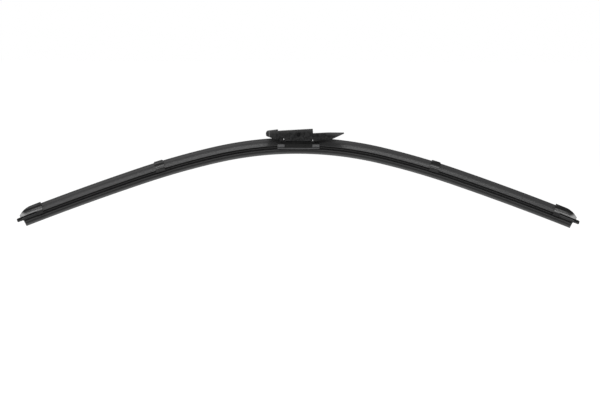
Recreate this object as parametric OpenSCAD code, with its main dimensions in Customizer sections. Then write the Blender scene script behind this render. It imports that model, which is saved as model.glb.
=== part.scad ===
// Flat wiper blade with a clipped spoiler and a pivoting arm adapter, in millimetres.
// The row frame has its origin on the adapter's arm seat, straight above the pivot.
// +X runs along the blade, +Y to its lee side and +Z away from the glass.
// Heights are counted from the wiping edge, along the normal of its arch.

/* [Blade] */
// Length of the rubber along its back
blade_len = 603.5; // [540:0.5:650]
// Radius of the arch at its middle
mid_r = 366; // [340:1:400]
// Half length of the middle arc
mid_len = 84; // [74:1:94]
// Radius of the arch beside the middle arc
side_r = 793; // [700:1:900]
// Length of each side arc
side_len = 78; // [66:1:88]
// Radius of the arch towards the ends
end_r = 2824; // [2300:1:3600]

/* [Rubber] */
// Thickness of the lip at the wiping edge
lip_w = 0.7; // [0.5:0.05:1]
// Thickness of the lip at its root
lip_root_w = 1.5; // [1.2:0.1:2]
// Height of the lip
lip_h = 4.1; // [3.9:0.05:4.4]
// Width of the shoulders that tip against the head
shoulder_w = 4.8; // [4.2:0.1:5.2]
// Height of the shoulders
shoulder_h = 1.3; // [1.1:0.05:1.5]
// Thickness of the hinge neck
neck_w = 1.1; // [0.8:0.1:1.5]
// Height of the hinge neck
neck_h = 1.4; // [1.2:0.05:1.6]
// Width of the head
head_w = 5.8; // [5.5:0.1:6]
// Height of the head below its rail grooves
head_under_h = 1.7; // [1.5:0.05:1.9]
// Height of the head above its rail grooves
head_over_h = 1.15; // [1:0.05:1.3]
// Thickness of the web between the rail grooves
web_w = 1.9; // [1.6:0.1:2.2]
// Length of the bare head past the lip
tongue_len = 7; // [6:0.5:9]
// Radius under the tongue and on its tip
tongue_r = 1.5; // [1:0.1:1.7]

/* [Rails] */
// Width of a rail
rail_w = 4.2; // [4:0.1:4.3]
// Thickness of a rail
rail_t = 0.9; // [0.8:0.05:1]
// Depth of the notches that clips and caps bite into
notch_d = 0.6; // [0.4:0.1:0.8]
// Length of a notch
notch_len = 2.2; // [1.8:0.1:2.4]
// Clearance around a rail
rail_fit = 0.05; // [0.03:0.01:0.1]

/* [Spoiler] */
// Width over the feet
foot_w = 13.8; // [13.5:0.1:14.1]
// Thickness of a claw under the rails
claw_t = 0.75; // [0.6:0.05:0.9]
// Height of the foot's side
foot_h = 1.6; // [1.3:0.1:1.9]
// Undercut of the foot's side
foot_undercut = 0.5; // [0.3:0.05:0.7]
// Height of the fin above the rubber's head
fin_rise = 6.2; // [5.6:0.05:6.5]
// Thickness of the fin along its crest
fin_w = 1.3; // [1:0.1:1.7]
// Offset of the crest towards the lee side
fin_lean = 0.9; // [0.2:0.1:1.3]
// Hollowness of the windward face
front_power = 2.5; // [2:0.1:2.8]
// Hollowness of the lee face
rear_power = 1.8; // [1.4:0.1:2.2]
// Width of the slot between the claws
claw_gap = 7.2; // [6.9:0.1:7.6]
// Clearance between the rubber's head and what covers it
head_fit = 0.15; // [0.1:0.05:0.25]

/* [Rail clips] */
// Distance of the left clip from the middle, along the arch
clip_left = 142; // [130:0.5:155]
// Distance of the right clip from the middle, along the arch
clip_right = 139.5; // [130:0.5:155]
// Length of a clip
clip_len = 9.7; // [8.5:0.1:12]
// Wall of a clip around the spoiler
clip_wall = 0.9; // [0.7:0.1:1.1]
// Length of the clip's solid web
clip_web = 2.8; // [2.6:0.1:3.4]
// Radius of the clip's upper corners in the side view
clip_corner_r = 1.2; // [0.8:0.1:1.6]
// Clearance between a clip or cap and the spoiler
sleeve_fit = 0.12; // [0.08:0.01:0.2]

/* [End caps] */
// Length of a cap, tip to inner end
cap_len = 24.4; // [23:0.2:28]
// Reach of a cap past the end of the lip
cap_reach = 2.25; // [1.75:0.25:4]
// Wall of a cap
cap_wall = 1.1; // [0.9:0.1:1.2]
// Extra height of a cap's back
cap_rise = 0.1; // [0.05:0.05:0.6]
// Lift of the cap's ledge over the spoiler's
cap_ledge_lift = 0.7; // [0.4:0.1:1]
// Radius of the cap's curved back
cap_back_r = 20.6; // [19:0.2:23]
// Height of the tip above the rubber's head
cap_tip_h = 2.35; // [2:0.05:2.8]
// Width of a cap at its tip
cap_tip_w = 11.2; // [10:0.2:12.4]
// Length of the cap's claws
cap_claw_len = 6; // [5.4:0.2:7]
// Depth of the socket that holds the spoiler
cap_socket = 3; // [2.4:0.1:3.4]

/* [Centre bracket] */
// Length of the bracket
bracket_len = 43; // [42:0.2:44]
// Width over the skirts at their foot
bracket_w = 14.4; // [14.2:0.1:14.6]
// Thickness of the sheet
sheet_t = 0.9; // [0.8:0.05:0.95]
// Height of the skirts' lower edge above the wiping edge
skirt_low = 4.85; // [4.6:0.05:5]
// Inward step of the skirt above its ledge
joggle = 1; // [0.8:0.05:1]
// Height of the skirt below its ledge
ledge_at = 1.6; // [1.3:0.1:1.8]
// Height of the sloping ledge
ledge_h = 1.7; // [1.5:0.1:1.9]
// Reach of the skirt's lower flange towards the rubber
flange_w = 2.2; // [1.8:0.1:2.6]
// Rise of the saddle over the crown
saddle_h = 1.4; // [1:0.1:1.6]
// Length of the saddle
saddle_len = 32.6; // [31:0.2:33]
// Depth of the groove over the skirt's lower edge
groove_d = 0.3; // [0.2:0.05:0.4]
// Height of that groove
groove_h = 0.5; // [0.4:0.05:0.6]
// Length of the window in each skirt
window_len = 28.6; // [27:0.2:30]
// Length of a claw under the rails
tab_len = 5; // [4.4:0.2:5.6]
// Bite of a claw under its rail
tab_bite = 1.3; // [1:0.1:1.6]
// Width of an ear at its foot
ear_w = 13; // [11:0.5:15]
// Distance between the ears
ear_gap = 6.6; // [6.4:0.1:6.8]
// Radius of an ear's round head
ear_r = 3; // [2.8:0.1:3.1]
// Clearance around the liners
liner_fit = 0.05; // [0.03:0.01:0.1]
// Place of the liners' left rib
rib_left = -7.4; // [-8:0.1:-6]
// Place of the liners' right rib
rib_right = 5.6; // [5:0.1:7]
// Width of a rib and of the liners' rims
rib_w = 0.9; // [0.7:0.1:1.2]
// Depth of the shallow pockets beside the ribs
pocket_d = 0.45; // [0.3:0.05:0.6]

/* [Pivot] */
// Height of the pivot above the wiping edge
pivot_h = 20; // [19.8:0.1:20.4]
// Diameter of the pin
pin_d = 4; // [3.6:0.1:4.2]
// Diameter of the pin's collars and of the sleeve
collar_d = 5.8; // [5.4:0.1:6.2]
// Thickness of a collar
collar_t = 0.8; // [0.6:0.05:0.9]
// Recess of the pin's ends in the adapter
pin_recess = 0.4; // [0.2:0.1:0.8]
// Diameter of the round recess about each pin end
recess_d = 6.8; // [6:0.1:7.4]
// Depth of that recess
recess_depth = 0.7; // [0.5:0.1:0.9]
// Radial clearance of the pin in the adapter
pivot_fit = 0.05; // [0.02:0.01:0.09]
// Clearance of the pin in the ears and the sleeve
rivet_fit = 0.02; // [0.01:0.01:0.04]

/* [Adapter] */
// Turn of the adapter against the blade at rest
adapter_tilt = 3.5; // [2:0.5:5]
// Width of the block that the arm slides over
block_w = 14.6; // [14.4:0.1:14.9]
// Height of the arm seat above the pivot
block_top = 4.8; // [4.7:0.1:5.4]
// Reach of the block right of the pivot
block_right = 15; // [14.6:0.1:15.4]
// Length of the arm seat left of the pivot, up to the nose
block_left = 21.1; // [20.5:0.1:21.7]
// Depth of the cheeks below the pivot, at their right end
cheek_low = 7.4; // [7.1:0.1:7.6]
// Rise of the cheeks' lower edge towards the nose
cheek_lift = 1.7; // [1.4:0.1:2]
// Wall of the cheeks
cheek_t = 1.8; // [1.7:0.05:1.9]
// Thickness of the block's roof
roof_t = 1.5; // [1.2:0.1:1.6]
// Rise of the nose over the seat, the thickness of the arm
arm_t = 1.4; // [1.1:0.1:1.6]
// Reach of the nose left of the pivot
nose_reach = 33.4; // [32.6:0.1:34.4]
// Depth of the nose's sides below the pivot
nose_low = 2.4; // [2.2:0.1:2.8]
// Radius of the nose's front corners in the plan view
nose_r = 4; // [3:0.2:4.6]
// Wall of the nose
nose_wall = 1.1; // [1:0.1:1.3]
// Clearance between the nose and the bracket's skirts
nose_fit = 0.3; // [0.25:0.05:0.45]
// Reach of the tail right of the pivot
tail_reach = 46.9; // [46:0.1:48]
// Height of the tail's back above the pivot
tail_top = 0.2; // [0:0.1:0.5]
// Depth of the tail's sides below the pivot
tail_low = 6.5; // [6.2:0.1:6.7]
// Wall of the tail
tail_wall = 1.3; // [1.1:0.1:1.4]
// Width of the tail at its tip
tail_tip_w = 8.4; // [8:0.2:10]
// Width of the slit between the cheeks and the tail, at its foot
slit_w = 1; // [0.8:0.1:1.2]
// Length of a locking lug on the cheeks
lug_len = 4; // [3:0.2:5]
// Height of a locking lug's face over the cheek
lug_h = 0.5; // [0.4:0.1:0.7]

/* [Hidden] */
$fn = 64;

// Largest distance between the true arch and its chords
chord_error = 0.05;
// Overreach that keeps cuts clean
over = 1;
// Small length for comparing places
eps = 0.01;
// Chamfer along moulded and sheet edges
edge_cut = 0.3;

// Heights above the wiping edge
shoulder_top = lip_h + shoulder_h;
head_base = shoulder_top + neck_h;
groove_base = head_base + head_under_h;
rail_base = groove_base + rail_fit;
rail_top = rail_base + rail_t;
groove_top = rail_top + rail_fit;
head_top = groove_top + head_over_h;
claw_base = groove_base - claw_t;
ledge_base = claw_base + foot_h;
fin_top = head_top + fin_rise;

// Places across the blade
rail_in = web_w / 2 + rail_fit;
rail_out = rail_in + rail_w;

// Angles and corners of the arch
mid_angle = mid_len / mid_r * 180 / PI;
side_angle = mid_angle + side_len / side_r * 180 / PI;
mid_end = mid_r * [sin(mid_angle), cos(mid_angle) - 1];
side_end = mid_end + side_r * [sin(side_angle) - sin(mid_angle), cos(side_angle) - cos(mid_angle)];

// Arc length of the wiping edge from its middle to the end of the lip
head_mid = (head_base + head_top) / 2;
lip_end = blade_len / 2 - tongue_len - head_mid * arch_angle(blade_len / 2) * PI / 180;

// Slope of the arch in degrees, s along the wiping edge from its middle
function arch_angle(s) = s < 0 ? -arch_angle(-s)
    : s <= mid_len ? s / mid_r * 180 / PI
    : s <= mid_len + side_len ? mid_angle + (s - mid_len) / side_r * 180 / PI
    : side_angle + (s - mid_len - side_len) / end_r * 180 / PI;

// Place of the wiping edge at s, as x and z
function arc_from(corner, r, a0, a) = corner + r * [sin(a) - sin(a0), cos(a) - cos(a0)];
function arch_point(s) = s < 0 ? [-arch_point(-s)[0], arch_point(-s)[1]]
    : s <= mid_len ? arc_from([0, 0], mid_r, 0, arch_angle(s))
    : s <= mid_len + side_len ? arc_from(mid_end, side_r, mid_angle, arch_angle(s))
    : arc_from(side_end, end_r, side_angle, arch_angle(s));

// Point at height h over the wiping edge at s
function above(s, h) = arch_point(s) + h * [sin(arch_angle(s)), cos(arch_angle(s))];

// Stations of the chords, shared by all swept pieces so that they nest
function chord_count(len, r) = ceil(len / sqrt(8 * r * chord_error));
function spread(a, b, r) = let (n = chord_count(b - a, r)) [for (i = [1:n]) a + (b - a) * i / n];
right_stations = concat(
    spread(0, mid_len, mid_r),
    spread(mid_len, mid_len + side_len, side_r),
    spread(mid_len + side_len, blade_len / 2 + 2 * over, end_r)
);
stations = concat([for (i = [len(right_stations) - 1:-1:0]) -right_stations[i]], [0], right_stations);

// Point at height h over s, on the chord between its two stations
function on_chord(s, h) = let (
        a = max([for (t = stations) if (t <= s + eps) t]),
        b = min([for (t = stations) if (t >= s - eps) t])
    ) b - a < eps ? above(a, h) : above(a, h) + (above(b, h) - above(a, h)) * (s - a) / (b - a);
function cuts(s0, s1) = concat([s0], [for (t = stations) if (t > s0 + over && t < s1 - over) t], [s1]);

// Helpers for outlines
function unit(v) = v / norm(v);
function mirrored(points) = [for (i = [len(points) - 1:-1:0]) [-points[i][0], points[i][1]]];
function reversed(points) = [for (i = [len(points) - 1:-1:0]) points[i]];
function arc(centre, r, a0, a1, steps = 6) = [
    for (i = [0:steps]) let (a = a0 + (a1 - a0) * i / steps) centre + r * [cos(a), sin(a)]
];

// Triangles that fill an outline, as indices; corners are cut off one by one
function turn(a, b, c) = (b[0] - a[0]) * (c[1] - a[1]) - (b[1] - a[1]) * (c[0] - a[0]);
function covers(a, b, c, p) = p != a && p != b && p != c
    && turn(a, b, p) > -eps * eps && turn(b, c, p) > -eps * eps && turn(c, a, p) > -eps * eps;
function is_ear(points, left, k) = let (
        n = len(left),
        a = points[left[(k + n - 1) % n]],
        b = points[left[k]],
        c = points[left[(k + 1) % n]]
    ) turn(a, b, c) > eps * eps && len([for (i = left) if (covers(a, b, c, points[i])) 1]) == 0;
function fill(points, left) = let (n = len(left))
    n == 3 ? [left] : let (
        k = [for (i = [0:n - 1]) if (is_ear(points, left, i)) i][0],
        ear = [left[(k + n - 1) % n], left[k], left[(k + 1) % n]]
    ) concat([ear], fill(points, [for (i = [0:n - 1]) if (i != k) left[i]]));

// Outline with its corners rounded: each point is x, y and a radius
function rounded(points, steps = 5) = [
    for (i = [0:len(points) - 1])
        let (
            p = points[i],
            before = points[(i + len(points) - 1) % len(points)],
            after = points[(i + 1) % len(points)],
            corner = [p[0], p[1]],
            u = unit([before[0], before[1]] - corner),
            v = unit([after[0], after[1]] - corner),
            half = acos(u * v) / 2,
            centre = corner + unit(u + v) * p[2] / sin(half),
            from = corner + u * p[2] / tan(half) - centre,
            to = corner + v * p[2] / tan(half) - centre
        )
        for (k = [0:p[2] > 0 ? steps : 0])
            p[2] > 0 ? centre + unit(from + (to - from) * k / steps) * p[2] : corner
];

// Lee half of the rubber's section, across and up
rubber_half = [
    [lip_w / 2, 0], [lip_w / 2 + 0.05, lip_h / 4], [lip_root_w / 2, lip_h * 0.85],
    [shoulder_w / 2 - edge_cut, lip_h + 0.2], [shoulder_w / 2, lip_h + 0.2 + edge_cut],
    [shoulder_w / 2, shoulder_top - edge_cut], [shoulder_w / 2 - edge_cut, shoulder_top],
    [neck_w / 2, shoulder_top + 0.15], [neck_w / 2, head_base - 0.15],
    [head_w / 2 - edge_cut, head_base], [head_w / 2, head_base + edge_cut],
    [head_w / 2, groove_base], [web_w / 2, groove_base],
    [web_w / 2, groove_top], [head_w / 2, groove_top],
    [head_w / 2, head_top - edge_cut], [head_w / 2 - edge_cut, head_top]
];

// Half breadths of the fin at t, from 0 at the ledge to 1 at the crest
function windward(t) = -foot_w / 2 + (foot_w / 2 + fin_lean - fin_w / 2) * (1 - pow(1 - t, front_power));
function leeward(t) = foot_w / 2 - (foot_w / 2 - fin_lean - fin_w / 2) * (1 - pow(1 - t, rear_power));
face_steps = 8;

// Outer section of the spoiler, grown by g, with its ledge and crest lifted further
function spoiler_outer(g = 0, lift = 0, rise = 0) = let (
        half = foot_w / 2 + g,
        low = claw_base - g,
        ledge = ledge_base + g + lift,
        high = fin_top + g + rise - edge_cut,
        lee = [for (i = [0:face_steps]) let (t = i / face_steps) [leeward(t) + g, ledge + (high - ledge) * t]],
        wind = [for (i = [0:face_steps]) let (t = i / face_steps) [windward(t) - g, ledge + (high - ledge) * t]]
    ) concat(
        [[half - foot_undercut, low], [half, ledge_base - edge_cut - g]],
        lee,
        [lee[face_steps] + [-edge_cut, edge_cut], wind[face_steps] + [edge_cut, edge_cut]],
        reversed(wind),
        [[-half, ledge_base - edge_cut - g], [foot_undercut - half, low]]
    );

// Lee half of the way through a section for the head and the rails, from the top down
channel_half = [
    [head_w / 2 + head_fit, head_top + head_fit],
    [head_w / 2 + head_fit, groove_top],
    [rail_out + rail_fit, groove_top],
    [rail_out + rail_fit, groove_base],
    [claw_gap / 2, groove_base]
];
channel_outline = concat(
    [[claw_gap / 2, 0]],
    reversed(channel_half),
    mirrored(reversed(channel_half)),
    [[-claw_gap / 2, 0]]
);
spoiler_outline = concat(
    spoiler_outer(),
    [[-claw_gap / 2, claw_base]],
    mirrored(channel_half),
    channel_half,
    [[claw_gap / 2, claw_base]]
);

// Levels and half widths of the bracket
skirt_out = bracket_w / 2;
deck_out = skirt_out - joggle;
deck_low = groove_top;
deck_top = deck_low + sheet_t;
deck_cut = rail_out + 3 * rail_fit;
crown_in = head_w / 2 + head_fit;
crown_low = head_top + head_fit;
crown_top = crown_low + sheet_t;
ledge_low = skirt_low + ledge_at;
ledge_high = ledge_low + ledge_h;

// Half widths of the adapter's nose and tail
nose_in = skirt_out + nose_fit;
nose_out = nose_in + nose_wall;
tail_out = block_w / 2 - 0.1;

// Place of the arm seat over the middle of the wiping edge
seat = [-block_top * sin(adapter_tilt), 0, pivot_h + block_top * cos(adapter_tilt)];

// Moves children into the row frame
module in_row() {
    translate(-seat) children();
}

// Puts children on the arch at s, with x along it and z along its normal
module at_arch(s) {
    p = arch_point(s);
    translate([p[0], 0, p[1]]) rotate([0, arch_angle(s), 0]) children();
}

// Puts children in the adapter's frame, with the pivot at its origin
module at_pivot() {
    translate([0, 0, pivot_h]) rotate([0, -adapter_tilt, 0]) children();
}

// Draws children on both sides, front and rear
module both_faces() {
    children();
    mirror([0, 1, 0]) children();
}

// Carries a section, across and up, along the chords from s0 to s1
module sweep(section, s0, s1) {
    rows = cuts(s0, s1);
    n = len(section);
    last = len(rows) - 1;
    points = [for (s = rows) for (p = section) let (c = on_chord(s, p[1])) [c[0], p[0], c[1]]];
    sides = [for (r = [0:last - 1]) for (i = [0:n - 1]) let (j = (i + 1) % n)
        [r * n + i, (r + 1) * n + i, (r + 1) * n + j, r * n + j]];
    ends = fill(section, [for (i = [0:n - 1]) i]);
    start = [for (t = ends) [t[2], t[0], t[1]]];
    end = [for (t = ends) [t[0], t[2], t[1]] + last * n * [1, 1, 1]];
    polyhedron(points, concat(sides, start, end), convexity = 10);
}

// Extrudes an outline of the side view across the blade, w wide
module side_slab(outline, w) {
    rotate([90, 0, 0]) linear_extrude(w, center = true) polygon(outline);
}

// Extrudes a section, across and up, along x from a to b
module section_slab(section, a, b) {
    translate([a, 0, 0]) rotate([90, 0, 90]) linear_extrude(b - a) polygon(section);
}

// Round bar along y from one place to another, round the origin
module cross_bar(d, from, to) {
    translate([0, to, 0]) rotate([90, 0, 0]) cylinder(h = to - from, d = d);
}

// What is trimmed off the right end of the rubber, under the tongue and round its tip
module rubber_end_cut() {
    root = tongue_r + 0.4;
    tip = tongue_len - tongue_r;
    side_slab(concat(
        [[0, -over]],
        arc([root, head_base - tongue_r], tongue_r, 180, 90),
        arc([tip, head_base + tongue_r], tongue_r, -90, 0),
        arc([tip, head_top - tongue_r], tongue_r, 0, 90),
        [[tip, head_top + over], [tongue_len + 6 * over, head_top + over], [tongue_len + 6 * over, -over]]
    ), head_w + 2 * over);
}

module wiping_rubber() {
    reach = lip_end + tongue_len + over;
    color("#2b2b2d") difference() {
        sweep(concat(rubber_half, mirrored(rubber_half)), -reach, reach);
        for (side = [0, 1]) mirror([side, 0, 0]) at_arch(lip_end) rubber_end_cut();
    }
}

// Places of a cap's inner end and nibs from the end of the lip, and the end of a rail from the middle
cap_inner = cap_reach - cap_len;
cap_nib_at = cap_inner + (cap_socket + cap_claw_len) / 2;
rail_end = lip_end + cap_reach - cap_wall;

// Rear rail, a flat strip bowed with the arch, notched where clips and caps bite
module rail() {
    rows = cuts(-rail_end, rail_end);
    outline = concat([for (s = rows) on_chord(s, rail_base)], reversed([for (s = rows) on_chord(s, rail_top)]));
    color("#4a4b4d") difference() {
        translate([0, (rail_in + rail_out) / 2, 0]) side_slab(outline, rail_w);
        for (s = [-lip_end - cap_nib_at, -clip_left, clip_right, lip_end + cap_nib_at]) at_arch(s)
            translate([-notch_len / 2, rail_out - notch_d, rail_base - over])
                cube([notch_len, notch_d + over, rail_t + 2 * over]);
    }
}

// Nib of a clip or cap in the rear rail's notch
module notch_nib() {
    translate([rail_fit - notch_len / 2, rail_out - notch_d + rail_fit, groove_base - eps])
        cube([notch_len - 2 * rail_fit, notch_d + claw_t, groove_top - groove_base + 2 * eps]);
}

// Right length of spoiler between the clip at clip_at and the end cap
module spoiler_outer_length(clip_at) {
    color("#39393b") sweep(spoiler_outline, clip_at + clip_web / 2 + sleeve_fit,
        lip_end + cap_reach - cap_len + cap_socket - sleeve_fit);
}

// Right length of spoiler between the bracket and a clip, its fin reaching over the bracket's end
module spoiler_inner_length(clip_at) {
    foot_start = bracket_len / 2 + 2 * sleeve_fit;
    fin_start = foot_start - 5;
    color("#39393b") difference() {
        sweep(spoiler_outline, fin_start, clip_at - clip_web / 2 - sleeve_fit);
        translate([0, -foot_w, 0]) cube([foot_start, 2 * foot_w, crown_top + 2 * sleeve_fit]);
    }
}

// Right clip: a web that bites the rails, between two sleeves that hold the spoiler's ends
module rail_clip(clip_at) {
    grow = sleeve_fit + clip_wall;
    top = fin_top + grow;
    half = clip_len / 2;
    outline = rounded([
        [-half, claw_base - grow - over, 0], [half, claw_base - grow - over, 0],
        [half, top, clip_corner_r], [-half, top, clip_corner_r]
    ]);
    color("#222223") at_arch(clip_at) {
        difference() {
            intersection() {
                section_slab(spoiler_outer(grow), -half, half);
                side_slab(outline, foot_w + 4 * grow);
            }
            for (side = [0, 1]) mirror([side, 0, 0])
                section_slab(spoiler_outer(sleeve_fit), clip_web / 2, half + over);
            section_slab(channel_outline, -half - over, half + over);
        }
        both_faces() notch_nib();
    }
}

// Side view of the right end cap, drawn in by inset all round its back and tip
cap_low = head_top + head_fit;
cap_top = fin_top + sleeve_fit + cap_wall + cap_rise;
cap_swing = acos(1 - (cap_top - head_top - cap_tip_h) / cap_back_r);
cap_bend = cap_reach - cap_back_r * sin(cap_swing);
function cap_side(inset, bottom) = concat(
    [[cap_inner - over, bottom], [cap_inner - over, cap_top - inset]],
    arc([cap_bend, cap_top - cap_back_r], cap_back_r - inset, 90, 90 - cap_swing, 10),
    [[cap_reach + 0.2 - inset, head_top + cap_tip_h - 0.8 - inset / 2], [cap_reach - 0.4 - inset, bottom]]
);

// Plan view of the right end cap, wide at the claws and drawn in to its tip
function cap_plan(inset) = let (half = foot_w / 2 + sleeve_fit + cap_wall + over - inset, tip = cap_tip_w / 2 - inset)
    rounded([
        [cap_inner - over, -half, 0], [cap_inner + cap_len * 0.45, -half, 12],
        [cap_reach + 0.3 - inset, -tip, 3], [cap_reach + 0.3 - inset, tip, 3],
        [cap_inner + cap_len * 0.45, half, 12], [cap_inner - over, half, 0]
    ]);
module plan_slab(outline) {
    linear_extrude(cap_top + over) polygon(outline);
}

// Right end cap: a hollow back, a socket for the spoiler and claws round the rails
module end_cap() {
    grow = sleeve_fit + cap_wall;
    claws = cap_inner + cap_claw_len;
    color("#1f1f20") at_arch(lip_end) {
        difference() {
            intersection() {
                section_slab(spoiler_outer(grow, cap_ledge_lift, cap_rise), cap_inner, cap_reach + over);
                side_slab(cap_side(0, claw_base - grow - over), foot_w + 6 * over);
                plan_slab(cap_plan(0));
            }
            section_slab([[-foot_w, -over], [foot_w, -over], [foot_w, cap_low], [-foot_w, cap_low]],
                claws, cap_reach + 2 * over);
            section_slab(spoiler_outer(sleeve_fit), cap_inner - over, cap_inner + cap_socket);
            intersection() {
                section_slab(spoiler_outer(sleeve_fit, cap_ledge_lift - 0.2), claws, cap_reach);
                side_slab(cap_side(cap_wall, -over), foot_w + 6 * over);
                plan_slab(cap_plan(cap_wall));
            }
            section_slab(channel_outline, cap_inner - over, cap_reach + 2 * over);
        }
        translate([cap_nib_at, 0, 0]) both_faces() notch_nib();
    }
}

// Section of the bracket's sheet: crowned deck, joggled skirts and inward flanges
bracket_outer = [
    [skirt_out - flange_w, skirt_low], [skirt_out - edge_cut, skirt_low], [skirt_out, skirt_low + edge_cut],
    [skirt_out, ledge_low], [skirt_out - joggle * 0.2, ledge_low + ledge_h * 0.4],
    [skirt_out - joggle * 0.85, ledge_low + ledge_h * 0.65], [deck_out, ledge_high], [deck_out, deck_top - 2 * edge_cut],
    [deck_out - 2 * edge_cut, deck_top], [crown_in + sheet_t, deck_top], [crown_in + sheet_t - edge_cut, crown_top]
];
bracket_inner = [
    [crown_in, crown_low], [crown_in, deck_low], [deck_out - sheet_t, deck_low],
    [deck_out - sheet_t, ledge_low + ledge_h * 0.45], [skirt_out - sheet_t, ledge_low],
    [skirt_out - sheet_t, skirt_low + sheet_t], [skirt_out - flange_w, skirt_low + sheet_t]
];

// Section of the raised saddle, which covers the crown between the spoiler's fins
crown_out = crown_in + sheet_t;
saddle_top = crown_top + saddle_h;
saddle_half = [[crown_out, crown_low], [crown_out, saddle_top - edge_cut], [crown_out - edge_cut, saddle_top]];

// Side view of an ear, its straight sides touching its round head
ear_rise = pivot_h - saddle_top;
ear_swing = acos(ear_r / norm([ear_w / 2, ear_rise])) - atan2(ear_rise, ear_w / 2);
ear_outline = concat(
    [[-ear_w / 2, deck_low], [ear_w / 2, deck_low], [ear_w / 2, saddle_top]],
    arc([0, pivot_h], ear_r, ear_swing, 180 - ear_swing, 14),
    [[-ear_w / 2, saddle_top]]
);

module centre_bracket() {
    half = bracket_len / 2;
    saddle = saddle_len / 2;
    color("#55565a") difference() {
        union() {
            section_slab(concat(bracket_outer, mirrored(bracket_outer), mirrored(bracket_inner), bracket_inner),
                -half, half);
            section_slab(concat(saddle_half, mirrored(saddle_half)), -saddle, saddle);
            both_faces() translate([0, (ear_gap + sheet_t) / 2, 0]) side_slab(ear_outline, sheet_t);
            for (way = [-1, 1]) at_arch(way * (half - tab_len / 2 - edge_cut)) both_faces()
                translate([-tab_len / 2, rail_out - tab_bite, groove_base - rail_fit - sheet_t])
                    cube([tab_len, deck_out - edge_cut - rail_out + tab_bite, sheet_t]);
        }
        section_slab([[-crown_in, 0], [crown_in, 0], [crown_in, saddle_top - sheet_t], [-crown_in, saddle_top - sheet_t]],
            sheet_t - saddle, saddle - sheet_t);
        translate([-ear_w / 2, -ear_gap / 2, crown_low]) cube([ear_w, ear_gap, saddle_h + sheet_t + over]);
        both_faces() translate([-half - over, skirt_out - groove_d, skirt_low + sheet_t])
            cube([bracket_len + 2 * over, over, groove_h]);
        translate([-window_len / 2, -skirt_out - over, skirt_low + sheet_t])
            cube([window_len, bracket_w + 2 * over, deck_low - skirt_low - sheet_t]);
        both_faces() translate([-window_len / 2, deck_cut, skirt_low + sheet_t])
            cube([window_len, skirt_out, deck_top + over - skirt_low - sheet_t]);
        translate([0, 0, pivot_h]) cross_bar(pin_d + 2 * rivet_fit, -bracket_w, bracket_w);
    }
}

// Pocket in the rear liner's face, from one place to another and as deep as told
module liner_pocket(from, to, depth) {
    low = skirt_low + sheet_t + rib_w;
    translate([from, skirt_out - liner_fit - depth, low]) cube([to - from, depth + over, deck_top - rib_w - low]);
}

// Rear liner: fills the window of the rear skirt, bears the rail and is divided by two ribs
module bracket_liner() {
    half = window_len / 2 - liner_fit;
    bearing = above(window_len / 2, groove_base)[1];
    inner = head_w / 2 + 2 * head_fit;
    low = skirt_low + sheet_t + liner_fit;
    section = [
        [inner, low], [skirt_out - liner_fit, low], [skirt_out - liner_fit, deck_top - edge_cut],
        [skirt_out - liner_fit - edge_cut, deck_top], [deck_cut + liner_fit, deck_top],
        [deck_cut + liner_fit, bearing], [inner, bearing]
    ];
    color("#1d1d1e") difference() {
        section_slab(section, -half, half);
        liner_pocket(rib_w - half, rib_left - rib_w / 2, pocket_d);
        liner_pocket(rib_left + rib_w / 2, rib_right - rib_w / 2, 1.5 * pocket_d);
        liner_pocket(rib_right + rib_w / 2, half - rib_w, 2 * pocket_d);
    }
}

module pivot_pin() {
    end = block_w / 2 - pin_recess;
    collar = ear_gap / 2 + sheet_t + rivet_fit;
    color("#77787b") translate([0, 0, pivot_h]) {
        cross_bar(pin_d, -end, end);
        both_faces() cross_bar(collar_d, collar, collar + collar_t);
    }
}

module spacer_sleeve() {
    half = ear_gap / 2 - rivet_fit;
    color("#8a8b8e") translate([0, 0, pivot_h]) difference() {
        cross_bar(collar_d, -half, half);
        cross_bar(pin_d + 2 * rivet_fit, -half - over, half + over);
    }
}

// Side views of the adapter, from the pivot
nose_top = block_top + arm_t;
nose_end = -block_left + 1.7;
nose_side = rounded([
    [-block_left, nose_top, 0.3], [-nose_reach, nose_top - 0.8, 2.4], [-nose_reach, 3 - nose_low, 1.2],
    [-nose_reach + 5.8, 0.4 - nose_low, 0.6], [-nose_reach + 7.6, -nose_low - 0.2, 0.8],
    [nose_end, -nose_low, 0.6], [nose_end, block_top - 2.4, 0], [-block_left + 0.5, block_top - 0.4, 0]
]);
block_side = rounded([
    [-block_left - over, block_top, 0], [block_right, block_top, 0.4], [block_right, tail_top - 2 * over, 0],
    [block_right - slit_w, -cheek_low, 0.6], [-block_right, cheek_lift - cheek_low, 1.3],
    [-block_right, -nose_low, 0], [-block_left - over, -nose_low, 0]
]);
tail_side = rounded([
    [block_right - 2 * over, tail_top, 0], [tail_reach - 16.4, tail_top - 0.05, 6],
    [tail_reach - 0.2, tail_top - 1.05, 0.3], [tail_reach, tail_top - 1.95, 0.3],
    [tail_reach - 12.2, -tail_low, 0.8], [tail_reach - 19, -tail_low, 3],
    [block_right, -tail_low - 1.4, 0.5], [block_right, tail_top - 2 * over, 0],
    [block_right - 2 * over, tail_top - 2 * over, 0]
]);

// Plan view of the nose, round at its front and drawn in by inset
function nose_plan(inset) = let (front = inset - nose_reach, half = nose_out - inset) rounded([
    [front, -half, nose_r - inset], [0, -half, 0], [0, half, 0], [front, half, nose_r - inset]
]);

// Plan view of the tail, drawn in towards its tip
function tail_plan(inset) = [
    [block_right - 3 * over, -tail_out + inset], [tail_reach + over, -tail_tip_w / 2 + inset],
    [tail_reach + over, tail_tip_w / 2 - inset], [block_right - 3 * over, tail_out - inset]
];

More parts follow.
